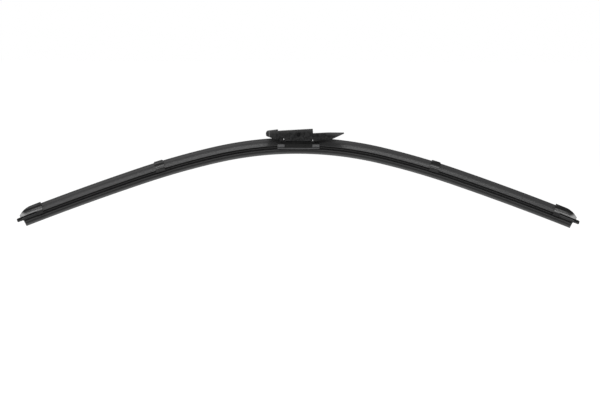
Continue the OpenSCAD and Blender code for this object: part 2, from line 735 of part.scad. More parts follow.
// Hollow of the nose, open below, and the notch in its front that lets the fin pass
nose_roof = nose_top - roof_t;
nose_hollow = [
    [-nose_reach, -2 * cheek_low], [-nose_reach, nose_roof - 2.2], [-nose_reach + 3, nose_roof],
    [-block_left - over, nose_roof], [-block_left - over, -2 * cheek_low]
];
nose_notch = [
    [-nose_reach - over, -2 * cheek_low], [-nose_reach - over, 4.4 - nose_low],
    [-nose_reach + 3 * over, 4.4 - nose_low], [-nose_reach + 3 * over, -2 * cheek_low]
];
notch_w = 5.2;

// Vertical groove in the cheeks between the pivot and the nose
cheek_groove = [[-9.9, -4.2], [-8.9, -4.2], [-8.9, 2.6], [-9.9, 2.6]];

// Carries a plan view through the adapter's whole height
module plan_column(outline) {
    translate([0, 0, -2 * cheek_low]) linear_extrude(4 * cheek_low) polygon(outline);
}

// Adapter in one moulding: nose, block with its cheeks, and tail
module adapter() {
    cavity = block_w / 2 - cheek_t;
    cheek = block_w / 2;
    color("#2a2a2b") at_pivot() difference() {
        union() {
            intersection() {
                side_slab(nose_side, 2 * nose_out);
                plan_column(nose_plan(0));
            }
            side_slab(block_side, block_w);
            intersection() {
                side_slab(tail_side, block_w);
                plan_column(tail_plan(0));
            }
            both_faces() translate([block_right * 0.3, cheek - over, block_top * 0.28])
                cube([lug_len, over + lug_h, 2.4]);
        }
        intersection() {
            side_slab(nose_hollow, 2 * nose_in);
            plan_column(nose_plan(nose_wall));
        }
        side_slab(nose_notch, notch_w);
        side_slab([
            [-block_left - 2 * over, -2 * cheek_low], [block_right - roof_t, -2 * cheek_low],
            [block_right - roof_t, block_top - roof_t], [-block_left - 2 * over, block_top - roof_t]
        ], 2 * cavity);
        intersection() {
            side_slab([
                [block_right - 2.5 * over, -2 * cheek_low], [tail_reach - 3.5, -2 * cheek_low],
                [tail_reach - 3.5, tail_top - tail_wall - 0.9], [tail_reach - 16.4, tail_top - tail_wall],
                [block_right - 2.5 * over, tail_top - tail_wall]
            ], block_w);
            plan_column(tail_plan(tail_wall));
        }
        both_faces() {
            translate([0, cheek, 0]) side_slab(cheek_groove, 2 * edge_cut);
            cross_bar(recess_d, cheek - recess_depth, cheek + over);
        }
        cross_bar(pin_d + 2 * pivot_fit, -block_w, block_w);
    }
}

in_row() wiping_rubber();
in_row() mirror([0, 1, 0]) rail();  // rail_front
in_row() rail();  // rail_rear
in_row() mirror([1, 0, 0]) spoiler_outer_length(clip_left);  // spoiler_outer_left
in_row() mirror([1, 0, 0]) spoiler_inner_length(clip_left);  // spoiler_inner_left
in_row() spoiler_inner_length(clip_right);  // spoiler_inner_right
in_row() spoiler_outer_length(clip_right);  // spoiler_outer_right
in_row() mirror([1, 0, 0]) rail_clip(clip_left);  // rail_clip_left
in_row() rail_clip(clip_right);  // rail_clip_right
in_row() mirror([1, 0, 0]) end_cap();  // end_cap_left
in_row() end_cap();  // end_cap_right
in_row() centre_bracket();
in_row() mirror([0, 1, 0]) bracket_liner();  // bracket_liner_front
in_row() bracket_liner();  // bracket_liner_rear
in_row() pivot_pin();
in_row() spacer_sleeve();
in_row() adapter();
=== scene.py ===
"""Looks of a flat wiper blade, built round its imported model.

The blade is an arched rubber held by two spring rails under a finned spoiler in four lengths, with
two clips, two end caps, a stamped bracket and a pivoting adapter. Sizes are in millimetres until a
mesh is made. Heights are counted from the wiping edge, along the normal of its arch.
"""

from __future__ import annotations

import logging
import math
from collections.abc import Callable
from dataclasses import dataclass, field
from enum import Enum

import bmesh
import bpy
import numpy as np
from mathutils import Matrix, Vector

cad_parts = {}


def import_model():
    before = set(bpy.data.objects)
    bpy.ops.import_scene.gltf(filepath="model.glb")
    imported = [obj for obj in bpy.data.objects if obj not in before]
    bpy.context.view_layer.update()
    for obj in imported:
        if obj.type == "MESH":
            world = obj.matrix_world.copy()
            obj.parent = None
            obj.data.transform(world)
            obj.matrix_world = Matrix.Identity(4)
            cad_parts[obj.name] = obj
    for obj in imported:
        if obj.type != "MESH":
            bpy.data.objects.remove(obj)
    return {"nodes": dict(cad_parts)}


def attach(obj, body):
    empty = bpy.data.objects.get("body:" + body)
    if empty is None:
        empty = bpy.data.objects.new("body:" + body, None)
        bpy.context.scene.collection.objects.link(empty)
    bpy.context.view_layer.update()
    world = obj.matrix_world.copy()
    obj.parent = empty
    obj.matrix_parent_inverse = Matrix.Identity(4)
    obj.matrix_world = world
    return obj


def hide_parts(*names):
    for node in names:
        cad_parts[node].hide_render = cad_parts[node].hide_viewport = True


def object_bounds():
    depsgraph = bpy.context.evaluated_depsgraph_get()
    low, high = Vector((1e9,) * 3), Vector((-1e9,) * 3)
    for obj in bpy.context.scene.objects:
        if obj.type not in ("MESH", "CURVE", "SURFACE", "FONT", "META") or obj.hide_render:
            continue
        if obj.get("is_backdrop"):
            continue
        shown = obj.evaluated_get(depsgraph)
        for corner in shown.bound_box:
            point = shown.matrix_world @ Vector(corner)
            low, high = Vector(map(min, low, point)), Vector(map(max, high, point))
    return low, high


LOG = logging.getLogger("wiper_blade")
Array = np.ndarray
Socket = bpy.types.NodeSocket
Vector3 = tuple[float, float, float]
Outline = tuple[tuple[float, float], ...]
Shaping = Callable[[bpy.types.Mesh], None]

# Metres in a millimetre, and the angles in degrees from which an edge is drawn sharp.
MM = 0.001
SWEPT_SHARP = 32.0
MOULDED_SHARP = 24.0

# Lengths under which a corner counts as straight and an arc as a point.
STRAIGHT = 1e-6
POINT = 1e-9

# Turns rows of y, height and corner radius into those of the other side.
MIRROR = np.array([-1, 1, 1])

# The colour of settled dust, and what it adds to the roughness.
DUST = (0.23, 0.225, 0.215, 1.0)
DUST_ROUGH = 0.35


class Half(Enum):
    """One of two mirrored halves, with the sign of its coordinate."""

    @property
    def label(self) -> str:
        """The half as the names of pieces and nodes spell it."""
        return self.name.lower()


class Side(Half):
    """Which half of the blade a piece sits on, with the sign of its x."""

    LEFT = -1
    RIGHT = 1


class Face(Half):
    """Which face of the blade a piece sits on, with the sign of its y."""

    FRONT = -1
    REAR = 1


class Surface(Enum):
    """How a finish gets its fine relief."""

    MOULDED = "moulded"
    EXTRUDED = "extruded"
    ROLLED = "rolled"


# How the grain is stretched on each axis.
STRETCH = {Surface.MOULDED: (1.0, 1.0, 1.0), Surface.ROLLED: (0.04, 1.0, 1.0)}


@dataclass(frozen=True)
class Arch:
    """Curve of the wiping edge: a middle arc, flatter ones beside it and almost straight ends."""

    mid_r: float = 366.0
    mid_len: float = 84.0
    side_r: float = 793.0
    side_len: float = 78.0
    end_r: float = 2824.0

    @property
    def bends(self) -> tuple[float, float]:
        """Slopes at the ends of the middle arc and of the side arc, in radians."""
        first = self.mid_len / self.mid_r
        return first, first + self.side_len / self.side_r

    def spans(self, s: Array) -> tuple[Array, Array, Array]:
        """Splits an arc length among the three arcs.

        Args:
            s: arc lengths from the middle of the wiping edge.

        Returns:
            The slope reached at the end of the part of s that lies on each arc, in radians.
        """
        run = np.abs(s)
        first, second = self.bends
        mid = np.minimum(run, self.mid_len) / self.mid_r
        side = first + np.clip(run - self.mid_len, 0, self.side_len) / self.side_r
        end = second + np.maximum(run - self.mid_len - self.side_len, 0) / self.end_r
        return mid, side, end

    def angle(self, s: Array) -> Array:
        """Slope of the arch: the sum of length over radius on each arc.

        Args:
            s: arc lengths from the middle of the wiping edge.

        Returns:
            The slope at each of them, in radians.
        """
        mid, side, end = self.spans(s)
        first, second = self.bends
        return np.sign(s) * (mid + (side - first) + (end - second))

    def place(self, s: Array, y: Array, h: Array) -> Array:
        """Carries points of a section onto the arch.

        Each arc adds its radius times the change of sine and cosine of the slope along it, and the
        height is laid off along the normal, which leans by the slope.

        Args:
            s: arc lengths along the wiping edge.
            y: places across the blade.
            h: heights over the wiping edge.

        Returns:
            The points in the row frame, in metres, with x, y and z on the last axis.
        """
        mid, side, end = self.spans(s)
        first, second = self.bends
        x = self.mid_r * np.sin(mid)
        x += (
            self.side_r * (np.sin(side) - math.sin(first))
            + self.end_r * (np.sin(end) - math.sin(second))
        )
        z = self.mid_r * (np.cos(mid) - 1)
        z += (
            self.side_r * (np.cos(side) - math.cos(first))
            + self.end_r * (np.cos(end) - math.cos(second))
        )
        slope = self.angle(s)
        x = np.sign(s) * x + h * np.sin(slope)
        z = z + h * np.cos(slope)
        points = np.stack(np.broadcast_arrays(x, y, z), axis=-1)
        return (points - SEAT) * MM


@dataclass(frozen=True)
class Pivot:
    """Where the adapter turns, and how the row frame hangs on its arm seat."""

    height: float = 20.0
    seat_rise: float = 4.8
    tilt: float = 3.5

    def seat(self) -> Array:
        """Finds the origin of the row frame.

        Returns:
            The arm seat's place, seen from the middle of the wiping edge.
        """
        lean = math.radians(self.tilt)
        rise = self.seat_rise * np.array([-math.sin(lean), 0.0, math.cos(lean)])
        return rise + [0.0, 0.0, self.height]


SEAT = Pivot().seat()


@dataclass(frozen=True)
class Section:
    """Sizes of the section that the rubber, rails, spoiler, clips and caps share.

    Widths are whole and end in _w, heights of a part of the section end in _h, thicknesses in _t
    and radii in _r. The properties are heights over the wiping edge and distances from the middle.
    """

    lip_w: float = 0.7
    lip_root_w: float = 1.5
    lip_h: float = 4.1
    shoulder_w: float = 4.8
    shoulder_h: float = 1.3
    neck_w: float = 1.1
    neck_h: float = 1.4
    head_w: float = 5.8
    head_under_h: float = 1.7
    head_over_h: float = 1.15
    web_w: float = 1.9
    rail_w: float = 4.2
    rail_t: float = 0.9
    rail_fit: float = 0.05
    rail_edge_r: float = 0.12
    foot_w: float = 13.8
    claw_t: float = 0.75
    foot_h: float = 1.6
    foot_undercut: float = 0.5
    fin_rise: float = 6.2
    fin_w: float = 1.3
    fin_lean: float = 0.9
    front_power: float = 2.5
    rear_power: float = 1.8
    claw_gap: float = 7.2
    head_fit: float = 0.15
    lip_edge_r: float = 0.04
    lip_swell: float = 0.05
    root_share: float = 0.85
    root_r: float = 0.35
    shoulder_slope: float = 0.2
    shoulder_r: float = 0.3
    neck_slope: float = 0.1
    neck_r: float = 0.2
    head_under_r: float = 0.3
    head_over_r: float = 0.4
    groove_mouth_r: float = 0.12
    groove_root_r: float = 0.1
    foot_r: float = 0.25
    foot_land: float = 0.3
    ledge_r: float = 0.22
    crest_r: float = 0.45
    claw_tip_r: float = 0.2
    claw_root_r: float = 0.15
    roof_r: float = 0.2

    @property
    def head_base(self) -> float:
        """Underside of the rubber's head."""
        return self.lip_h + self.shoulder_h + self.neck_h

    @property
    def groove_base(self) -> float:
        """Lower wall of the rail grooves."""
        return self.head_base + self.head_under_h

    @property
    def rail_base(self) -> float:
        """Underside of the rails."""
        return self.groove_base + self.rail_fit

    @property
    def groove_top(self) -> float:
        """Upper wall of the rail grooves."""
        return self.rail_base + self.rail_t + self.rail_fit

    @property
    def head_top(self) -> float:
        """Top of the rubber's head."""
        return self.groove_top + self.head_over_h

    @property
    def claw_base(self) -> float:
        """Underside of the spoiler's claws."""
        return self.groove_base - self.claw_t

    @property
    def ledge_base(self) -> float:
        """Height at which the spoiler's foot turns into its hollow faces."""
        return self.claw_base + self.foot_h

    @property
    def fin_top(self) -> float:
        """Crest of the spoiler's fin."""
        return self.head_top + self.fin_rise

    @property
    def rail_in(self) -> float:
        """Inner edge of a rail, from the middle."""
        return self.web_w / 2 + self.rail_fit

    @property
    def rail_out(self) -> float:
        """Outer edge of a rail, from the middle."""
        return self.rail_in + self.rail_w

    def rubber(self) -> tuple[Array, Array]:
        """Draws the rubber's section, from the lip up the lee side and back down.

        Returns:
            Corners of the closed outline and the radius at each.
        """
        top = self.lip_h + self.shoulder_h
        widths = (
            self.lip_w, self.lip_root_w, self.shoulder_w, self.neck_w, self.head_w, self.web_w
        )
        lip, root, shoulder, neck, head, web = (width / 2 for width in widths)
        half = np.array([
            [lip, 0.0, self.lip_edge_r],
            [lip + self.lip_swell, self.lip_h / 4, 0.0],
            [root, self.lip_h * self.root_share, self.root_r],
            [shoulder, self.lip_h + self.shoulder_slope, self.root_r],
            [shoulder, top, self.shoulder_r],
            [neck, top + self.neck_slope, self.neck_r],
            [neck, self.head_base - self.neck_slope, self.neck_r],
            [head, self.head_base, self.head_under_r],
            [head, self.groove_base, self.groove_mouth_r],
            [web, self.groove_base, self.groove_root_r],
            [web, self.groove_top, self.groove_root_r],
            [head, self.groove_top, self.groove_mouth_r],
            [head, self.head_top, self.head_over_r],
        ])
        whole = np.concatenate([half, half[::-1] * MIRROR])
        return whole[:, :2], whole[:, 2]

    def rail(self) -> tuple[Array, Array]:
        """Draws the lee rail's section.

        Returns:
            Corners of the closed outline and the radius at each.
        """
        low, high = self.rail_base, self.rail_base + self.rail_t
        inner, outer = self.rail_in, self.rail_out
        corners = np.array([[inner, low], [outer, low], [outer, high], [inner, high]])
        return corners, np.full(len(corners), self.rail_edge_r)

    def spoiler(self, steps: int = 22) -> tuple[Array, Array]:
        """Draws the spoiler's section.

        The windward face runs from the foot to the crest as half breadth times one minus a power
        of what is left of the height, the lee face does the same with its own power, and the way
        for the rubber's head and the rails is cut from below.

        Args:
            steps: how many strips make each hollow face.

        Returns:
            Corners of the closed outline and the radius at each.
        """
        half, high = self.foot_w / 2, self.fin_top
        t = np.linspace(0, 1, steps + 1)
        level = self.ledge_base + (high - self.ledge_base) * t
        lee = half - (half - self.fin_lean - self.fin_w / 2) * (1 - (1 - t) ** self.rear_power)
        wind = -half + (half + self.fin_lean - self.fin_w / 2) * (1 - (1 - t) ** self.front_power)
        face_r = np.zeros(steps + 1)
        face_r[0], face_r[-1] = self.ledge_r, self.crest_r
        foot = np.array([
            [half - self.foot_undercut, self.claw_base, self.foot_r],
            [half, self.ledge_base - self.foot_land, 0.0],
        ])
        gap, rails = self.claw_gap / 2, self.rail_out + self.rail_fit
        roof = self.head_w / 2 + self.head_fit
        way = np.array([
            [-gap, self.claw_base, self.claw_tip_r],
            [-gap, self.groove_base, self.claw_root_r],
            [-rails, self.groove_base, 0.0],
            [-rails, self.groove_top, 0.0],
            [-roof, self.groove_top, 0.0],
            [-roof, self.head_top + self.head_fit, self.roof_r],
        ])
        outline = np.concatenate([
            foot,
            np.column_stack([lee, level, face_r]),
            np.column_stack([wind, level, face_r])[::-1],
            foot[::-1] * MIRROR,
            way,
            way[::-1] * MIRROR,
        ])
        return outline[:, :2], outline[:, 2]


def rounded(corners: Array, radii: Array, steps: int = 4) -> Array:
    """Rounds the corners of a closed outline.

    At each corner an arc touches both sides: its centre lies on the bisector at the radius over
    the sine of half the angle, and its points swing evenly between the two points of touch.

    Args:
        corners: rows of two coordinates.
        radii: radius at each corner, 0 for a sharp one.
        steps: strips in each arc.

    Returns:
        Points of the rounded outline.
    """
    before = np.roll(corners, 1, axis=0) - corners
    after = np.roll(corners, -1, axis=0) - corners
    before /= np.linalg.norm(before, axis=1, keepdims=True)
    after /= np.linalg.norm(after, axis=1, keepdims=True)
    half = np.arccos(np.clip((before * after).sum(axis=1), -1, 1)) / 2
    bisector = before + after
    length = np.linalg.norm(bisector, axis=1, keepdims=True)
    bisector = np.where(length > STRAIGHT, bisector / np.maximum(length, STRAIGHT), 0)
    centre = corners + bisector * (radii / np.sin(half))[:, None]
    first = corners + before * (radii / np.tan(half))[:, None] - centre
    last = corners + after * (radii / np.tan(half))[:, None] - centre
    share = np.linspace(0, 1, steps + 1)[None, :, None]
    swing = first[:, None, :] * (1 - share) + last[:, None, :] * share
    norm = np.linalg.norm(swing, axis=2, keepdims=True)
    swing = swing / np.maximum(norm, POINT) * radii[:, None, None]
    points = centre[:, None, :] + swing
    keep = np.ones(points.shape[:2], bool)
    keep[:, 1:] = (radii > 0)[:, None]
    return points[keep]


@dataclass
class Mesh:
    """A mesh on its way to Blender.

    The vertices are in metres. The flow has a row for each corner of each face, and the slots say
    which of the piece's finishes each face takes.
    """

    vertices: Array
    faces: list[list[int]]
    flow: Array | None = None
    slots: Array | None = None

    def build(self, name: str, *materials: bpy.types.Material) -> bpy.types.Object:
        """Puts the mesh into the scene.

        Args:
            name: name of the piece.
            materials: its finishes.

        Returns:
            The new object, at the origin.
        """
        mesh = bpy.data.meshes.new(name)
        mesh.from_pydata(self.vertices.tolist(), [], self.faces)
        if self.flow is not None:
            layer = mesh.uv_layers.new(name="flow")
            layer.data.foreach_set("uv", self.flow.astype(np.float32).ravel())
        for material in materials:
            mesh.materials.append(material)
        if self.slots is not None:
            mesh.polygons.foreach_set("material_index", self.slots.astype(np.int32))
        finish_shading(mesh)
        return placed(name, mesh)


def placed(name: str, data: bpy.types.ID) -> bpy.types.Object:
    """Puts an object into the scene.

    Args:
        name: its name.
        data: its mesh, camera or lamp.

    Returns:
        The object, at the origin.
    """
    thing = bpy.data.objects.new(name, data)
    bpy.context.scene.collection.objects.link(thing)
    return thing


def finish_shading(mesh: bpy.types.Mesh, sharp: float = SWEPT_SHARP) -> None:
    """Shades a mesh smoothly, but for its sharp edges.

    Args:
        mesh: the mesh.
        sharp: angle between faces, in degrees, from which an edge is drawn sharp.
    """
    mesh.polygons.foreach_set("use_smooth", np.ones(len(mesh.polygons), bool))
    mesh.set_sharp_from_angle(angle=math.radians(sharp))
    mesh.update()


def settle(piece: bpy.types.Object) -> None:
    """Gives a piece the mesh that its modifiers make of it.

    Args:
        piece: the piece, whose modifiers are removed and whose mesh keeps its name.
    """
    bpy.context.view_layer.update()
    evaluated = piece.evaluated_get(bpy.context.evaluated_depsgraph_get())
    result = bpy.data.meshes.new_from_object(evaluated)
    piece.modifiers.clear()
    old, name = piece.data, piece.data.name
    piece.data = result
    bpy.data.meshes.remove(old)
    result.name = name


def swept(outline: Array, arch: Arch, stations: Array, second: Array | None = None) -> Mesh:
    """Carries a closed outline along the arch.

    The surface is a function of the station and of the place on the outline: every point of the
    outline is laid on the arch at each station. Both ends are closed, and faces point outwards.

    Args:
        outline: points of the section, across and up, up its lee side first.
        arch: curve that it follows.
        stations: arc lengths, rising.
        second: which sides of the outline take the piece's second finish.

    Returns:
        The closed mesh. Its flow is measured in metres, along the arch and the shorter way round
        the section from its first point.
    """
    count, rows = len(outline), len(stations)
    s = np.broadcast_to(stations[:, None], (rows, count))
    vertices = arch.place(s, outline[None, :, 0], outline[None, :, 1]).reshape(-1, 3)
    row = np.arange(rows - 1)[:, None] * count
    here = np.arange(count)[None, :]
    there = np.roll(here, -1, axis=1)
    quads = np.stack([row + here, row + there, row + count + there, row + count + here], axis=-1)
    faces = quads.reshape(-1, 4).tolist()
    faces.append(list(range(count - 1, -1, -1)))
    faces.append(list(range((rows - 1) * count, rows * count)))
    step = np.linalg.norm(np.roll(outline, -1, axis=0) - outline, axis=1)
    around = np.concatenate([[0], np.cumsum(step)])
    around = np.minimum(around, around[-1] - around)
    along = np.stack([s[:-1], s[:-1], s[1:], s[1:]], axis=-1)
    across = np.stack([around[:-1], around[1:], around[1:], around[:-1]], axis=-1)
    sides = np.stack([along, np.broadcast_to(across, along.shape)], axis=-1).reshape(-1, 2)
    ends = [np.column_stack([s[0], around[:-1]])[::-1], np.column_stack([s[-1], around[:-1]])]
    slots = None
    if second is not None:
        slots = np.concatenate([np.tile(second, rows - 1), [False, False]])
    return Mesh(vertices, faces, np.concatenate([sides, *ends]) * MM, slots)


def stations_between(start: float, end: float, step: float = 3.0) -> Array:
    """Evenly spread arc lengths from start to end, at most step apart."""
    return np.linspace(start, end, int(math.ceil((end - start) / step)) + 1)


def cut_away(
    piece: bpy.types.Object,
    outline: Array,
    half_width: float,
    arch: Arch | None = None,
    at: float = 0.0,
) -> None:
    """Cuts a slab, drawn in the side view, out of a piece.

    Args:
        piece: the piece, whose mesh is changed.
        outline: the slab's side view in millimetres, along and up.
        half_width: half of the slab's width.
        arch: where the slab is drawn at a place on the arch, that arch, else None.
        at: arc length of that place.
    """
    count = len(outline)
    y = np.repeat([-half_width, half_width], count)
    along, up = np.tile(outline[:, 0], 2), np.tile(outline[:, 1], 2)
    if arch is not None:
        slope = float(arch.angle(np.array(at)))
        foot = arch.place(np.array(at), np.array(0.0), np.array(0.0))
        x = foot[0] + (along * math.cos(slope) + up * math.sin(slope)) * MM
        z = foot[2] + (up * math.cos(slope) - along * math.sin(slope)) * MM
    else:
        x, z = (along - SEAT[0]) * MM, (up - SEAT[2]) * MM
    here = list(range(count))
    faces = [here, [i + count for i in reversed(here)]]
    faces += [[(i + 1) % count, i, i + count, (i + 1) % count + count] for i in here]
    cutter = Mesh(np.column_stack([x, y * MM, z]), faces).build("cutter", piece.data.materials[0])
    outward(cutter.data)
    modifier = piece.modifiers.new("cut", "BOOLEAN")
    modifier.object = cutter
    modifier.operation = "DIFFERENCE"
    modifier.solver = "EXACT"
    settle(piece)
    bpy.data.objects.remove(cutter)


def outward(mesh: bpy.types.Mesh) -> None:
    """Turns every face of a closed mesh outwards.

    Args:
        mesh: the mesh, which is changed.
    """
    work = bmesh.new()
    work.from_mesh(mesh)
    bmesh.ops.recalc_face_normals(work, faces=work.faces)
    work.to_mesh(mesh)
    work.free()


class NodeTree:
    """Short names for what the finishes, the groups and the studio do with shader nodes."""

    def __init__(self, tree: bpy.types.NodeTree) -> None:
        """Keeps the tree that nodes are added to."""
        self.tree = tree

    @classmethod
    def fresh(cls, owner: bpy.types.Material | bpy.types.World) -> NodeTree:
        """Empties the tree of a material or world.

        Args:
            owner: the material or world.

        Returns:
            The helper of its tree.
        """
        owner.use_nodes = True
        owner.node_tree.nodes.clear()
        return cls(owner.node_tree)

    def add(self, kind: str, **values: object) -> bpy.types.Node:
        """Adds a node.

        Args:
            kind: its type.
            values: its properties by name.

        Returns:
            The node.
        """
        node = self.tree.nodes.new(kind)
        for key, value in values.items():
            setattr(node, key, value)
        return node

    def put(self, socket: Socket, value: object) -> None:
        """Links a socket to another, or writes a plain value on it.

        Args:
            socket: the input.
            value: an output, or a value of the input's own kind.
        """
        if isinstance(value, Socket):
            self.tree.links.new(value, socket)
        else:
            socket.default_value = value

    def fed(self, kind: str, *values: object, **properties: object) -> bpy.types.Node:
        """Adds a node whose first inputs take the values given.

        Args:
            kind: its type.
            values: what its inputs take, in their order.
            properties: its properties by name.

        Returns:
            The node.
        """
        node = self.add(kind, **properties)
        for socket, value in zip(node.inputs, values):
            self.put(socket, value)
        return node

    def math(
        self, operation: str, first: object, second: object = 0.0, clamp: bool = False
    ) -> Socket:
        """Works out two numbers or sockets with a Math node and returns its result."""
        node = self.fed("ShaderNodeMath", first, second, operation=operation, use_clamp=clamp)
        return node.outputs[0]

    def plus(self, first: object, second: object, clamp: bool = False) -> Socket:
        """Adds two numbers or sockets and returns the sum."""
        return self.math("ADD", first, second, clamp)

    def times(self, first: object, second: object, clamp: bool = False) -> Socket:
        """Multiplies two numbers or sockets and returns the product."""
        return self.math("MULTIPLY", first, second, clamp)

    def ramp(self, value: object, low: float, high: float) -> Socket:
        """Maps low to 0 and high to 1 on a smooth curve and returns the result."""
        node = self.fed("ShaderNodeMapRange", value, low, high, interpolation_type="SMOOTHSTEP")
        return node.outputs["Result"]

    def mix(self, factor: object, first: object, second: object) -> Socket:
        """Mixes two colours.

        Args:
            factor: share of the second colour.
            first: a colour or socket.
            second: another.

        Returns:
            The mixed colour.
        """
        node = self.add("ShaderNodeMix", data_type="RGBA")
        for index, value in ((0, factor), (6, first), (7, second)):
            self.put(node.inputs[index], value)
        return node.outputs[2]

    def noise(self, vector: Socket, scale: object, detail: float, rough: float = 0.5) -> Socket:
        """Adds a noise texture.

        Args:
            vector: where the noise is read.
            scale: its scale.
            detail: how many finer layers it has.
            rough: how strong those are.

        Returns:
            The noise's value.
        """
        node = self.add("ShaderNodeTexNoise")
        values = {"Vector": vector, "Scale": scale, "Detail": detail, "Roughness": rough}
        for label, value in values.items():
            self.put(node.inputs[label], value)
        return node.outputs["Fac"]

    def stretched(self, vector: Socket, scale: Vector3) -> Socket:
        """Scales a vector by a fixed amount on each axis.

        Args:
            vector: the vector.
            scale: the amount on each axis.

        Returns:
            The scaled vector.
        """
        node = self.add("ShaderNodeMapping")
        self.put(node.inputs["Vector"], vector)
        node.inputs["Scale"].default_value = scale
        return node.outputs["Vector"]

    def axes(self, vector: Socket) -> bpy.types.NodeOutputs:
        """Splits a vector into its numbers, named X, Y and Z."""
        return self.fed("ShaderNodeSeparateXYZ", vector).outputs

    def group(self, tree: bpy.types.NodeTree, **values: object) -> bpy.types.Node:
        """Places a shared group.

        Args:
            tree: the group.
            values: its own values, by the names of its inputs.

        Returns:
            The group's node.
        """
        node = self.add("ShaderNodeGroup", node_tree=tree)
        for label, value in values.items():
            self.put(node.inputs[label], value)
        return node

    def seen_by(self, other: str) -> Socket:
        """Tells what is looked at from what only lights the part.

        Args:
            other: the kind of ray that counts as looking beside the camera's own.

        Returns:
            1 for a ray that looks, else 0.
        """
        rays = self.add("ShaderNodeLightPath").outputs
        return self.math("MAXIMUM", rays["Is Camera Ray"], rays[other])

    def surface(self, kind: str, shader: Socket) -> None:
        """Ends the tree with an output node of a kind and links its surface."""
        self.put(self.add(kind).inputs["Surface"], shader)


class Groups:
    """Shader groups that several finishes share, each built once.

    Scales are in cycles a metre, those of the extrusion's lines along the flow and across it, and
    that of the coarse grain is a share of the fine grain's.
    """

    COARSE_SCALE = 0.37
    COARSE_SHARE = 0.6
    DRIFT_SCALE = 55.0
    FINE_LINES = (14.0, 9000.0, 1.0)
    BROAD_LINES = (9.0, 1500.0, 1.0)
    PATCHES = (70.0, 320.0, 1.0)
    EDGE_SPAN = 0.09
    RUB_SCALE = 420.0
    FILM_SCALE = 160.0
    FILM_SHARE = 0.5
    SPECK_SCALE = 2600.0
    SIDE_SHARE = 0.25

    def __init__(self) -> None:
        """Builds the groups."""
        self.grain = self.build_grain()
        self.streaks = self.build_streaks()
        self.wear = self.build_wear()
        self.dust = self.build_dust()

    @staticmethod
    def start(
        name: str, values: dict[str, float | None], *results: str
    ) -> tuple[NodeTree, bpy.types.NodeOutputs, bpy.types.NodeInputs]:
        """Starts a group.

        Args:
            name: the group's name.
            values: its inputs, each with its default, or None for a vector.
            results: names of its outputs, all plain numbers.

        Returns:
            The node helper of the new group, its sockets to read and its sockets to fill.
        """
        tree = bpy.data.node_groups.new(name, "ShaderNodeTree")
        for label, default in values.items():
            kind = "NodeSocketVector" if default is None else "NodeSocketFloat"
            socket = tree.interface.new_socket(label, in_out="INPUT", socket_type=kind)
            if default is not None:
                socket.default_value = default
        for label in results:
            tree.interface.new_socket(label, in_out="OUTPUT", socket_type="NodeSocketFloat")
        nodes = NodeTree(tree)
        return nodes, nodes.add("NodeGroupInput").outputs, nodes.add("NodeGroupOutput").inputs

    def build_grain(self) -> bpy.types.NodeTree:
        """Spark-eroded grain: two noises of different size, rounded off, and a slow drift.

        Returns:
            The group.
        """
        nodes, given, result = self.start(
            "moulded_grain", {"Vector": None, "Scale": 3000.0}, "Height", "Drift"
        )
        fine = nodes.noise(given["Vector"], given["Scale"], detail=2.0, rough=0.6)
        scale = nodes.times(given["Scale"], self.COARSE_SCALE)
        coarse = nodes.times(nodes.noise(given["Vector"], scale, detail=1.0), self.COARSE_SHARE)
        drift = nodes.noise(given["Vector"], self.DRIFT_SCALE, detail=3.0, rough=0.6)
        nodes.put(result["Height"], nodes.plus(nodes.ramp(fine, low=0.3, high=0.7), coarse))
        nodes.put(result["Drift"], drift)
        return nodes.tree

    def build_streaks(self) -> bpy.types.NodeTree:
        """Lines of an extrusion: noise stretched along the flow, fine and broad, and slow patches.

        Returns:
            The group.
        """
        nodes, given, result = self.start(
            "extrusion_lines", {"Flow": None}, "Height", "Bands", "Patches"
        )
        fine, broad, patches = (
            nodes.stretched(given["Flow"], scale)
            for scale in (self.FINE_LINES, self.BROAD_LINES, self.PATCHES)
        )
        fine = nodes.noise(fine, 1.0, detail=2.0)
        broad = nodes.noise(broad, 1.0, detail=2.0, rough=0.6)
        patches = nodes.noise(patches, 1.0, detail=4.0, rough=0.65)
        nodes.put(result["Height"], nodes.plus(fine, broad))
        nodes.put(result["Bands"], nodes.ramp(broad, low=0.25, high=0.75))
        nodes.put(result["Patches"], nodes.ramp(patches, low=0.3, high=0.75))
        return nodes.tree

    def build_wear(self) -> bpy.types.NodeTree:
        """Rubbed edges: where the surface is convex, broken up by noise.

        Returns:
            The group.
        """
        nodes, given, result = self.start("rubbed_edges", {"Vector": None, "Reach": 0.56}, "Mask")
        convex = nodes.add("ShaderNodeNewGeometry").outputs["Pointiness"]
        past = nodes.math("SUBTRACT", convex, given["Reach"])
        edge = nodes.ramp(past, low=0.0, high=self.EDGE_SPAN)
        broken = nodes.noise(given["Vector"], self.RUB_SCALE, detail=4.0, rough=0.7)
        nodes.put(result["Mask"], nodes.times(edge, nodes.ramp(broken, low=0.35, high=0.65)))
        return nodes.tree

    def build_dust(self) -> bpy.types.NodeTree:
        """Fine dust: specks of two sizes, thicker on what faces up.

        Returns:
            The group.
        """
        nodes, given, result = self.start("settled_dust", {"Vector": None, "Amount": 0.3}, "Mask")
        normal = nodes.add("ShaderNodeNewGeometry").outputs["Normal"]
        upward = nodes.ramp(nodes.axes(normal)["Z"], low=-0.3, high=1.0)
        film = nodes.noise(given["Vector"], self.FILM_SCALE, detail=5.0, rough=0.7)
        film = nodes.times(nodes.ramp(film, low=0.35, high=0.8), self.FILM_SHARE)
        specks = nodes.noise(given["Vector"], self.SPECK_SCALE, detail=1.0)
        cover = nodes.plus(film, nodes.ramp(specks, low=0.66, high=0.74))
        cover = nodes.times(cover, nodes.plus(upward, self.SIDE_SHARE))
        nodes.put(result["Mask"], nodes.times(cover, given["Amount"], clamp=True))
        return nodes.tree


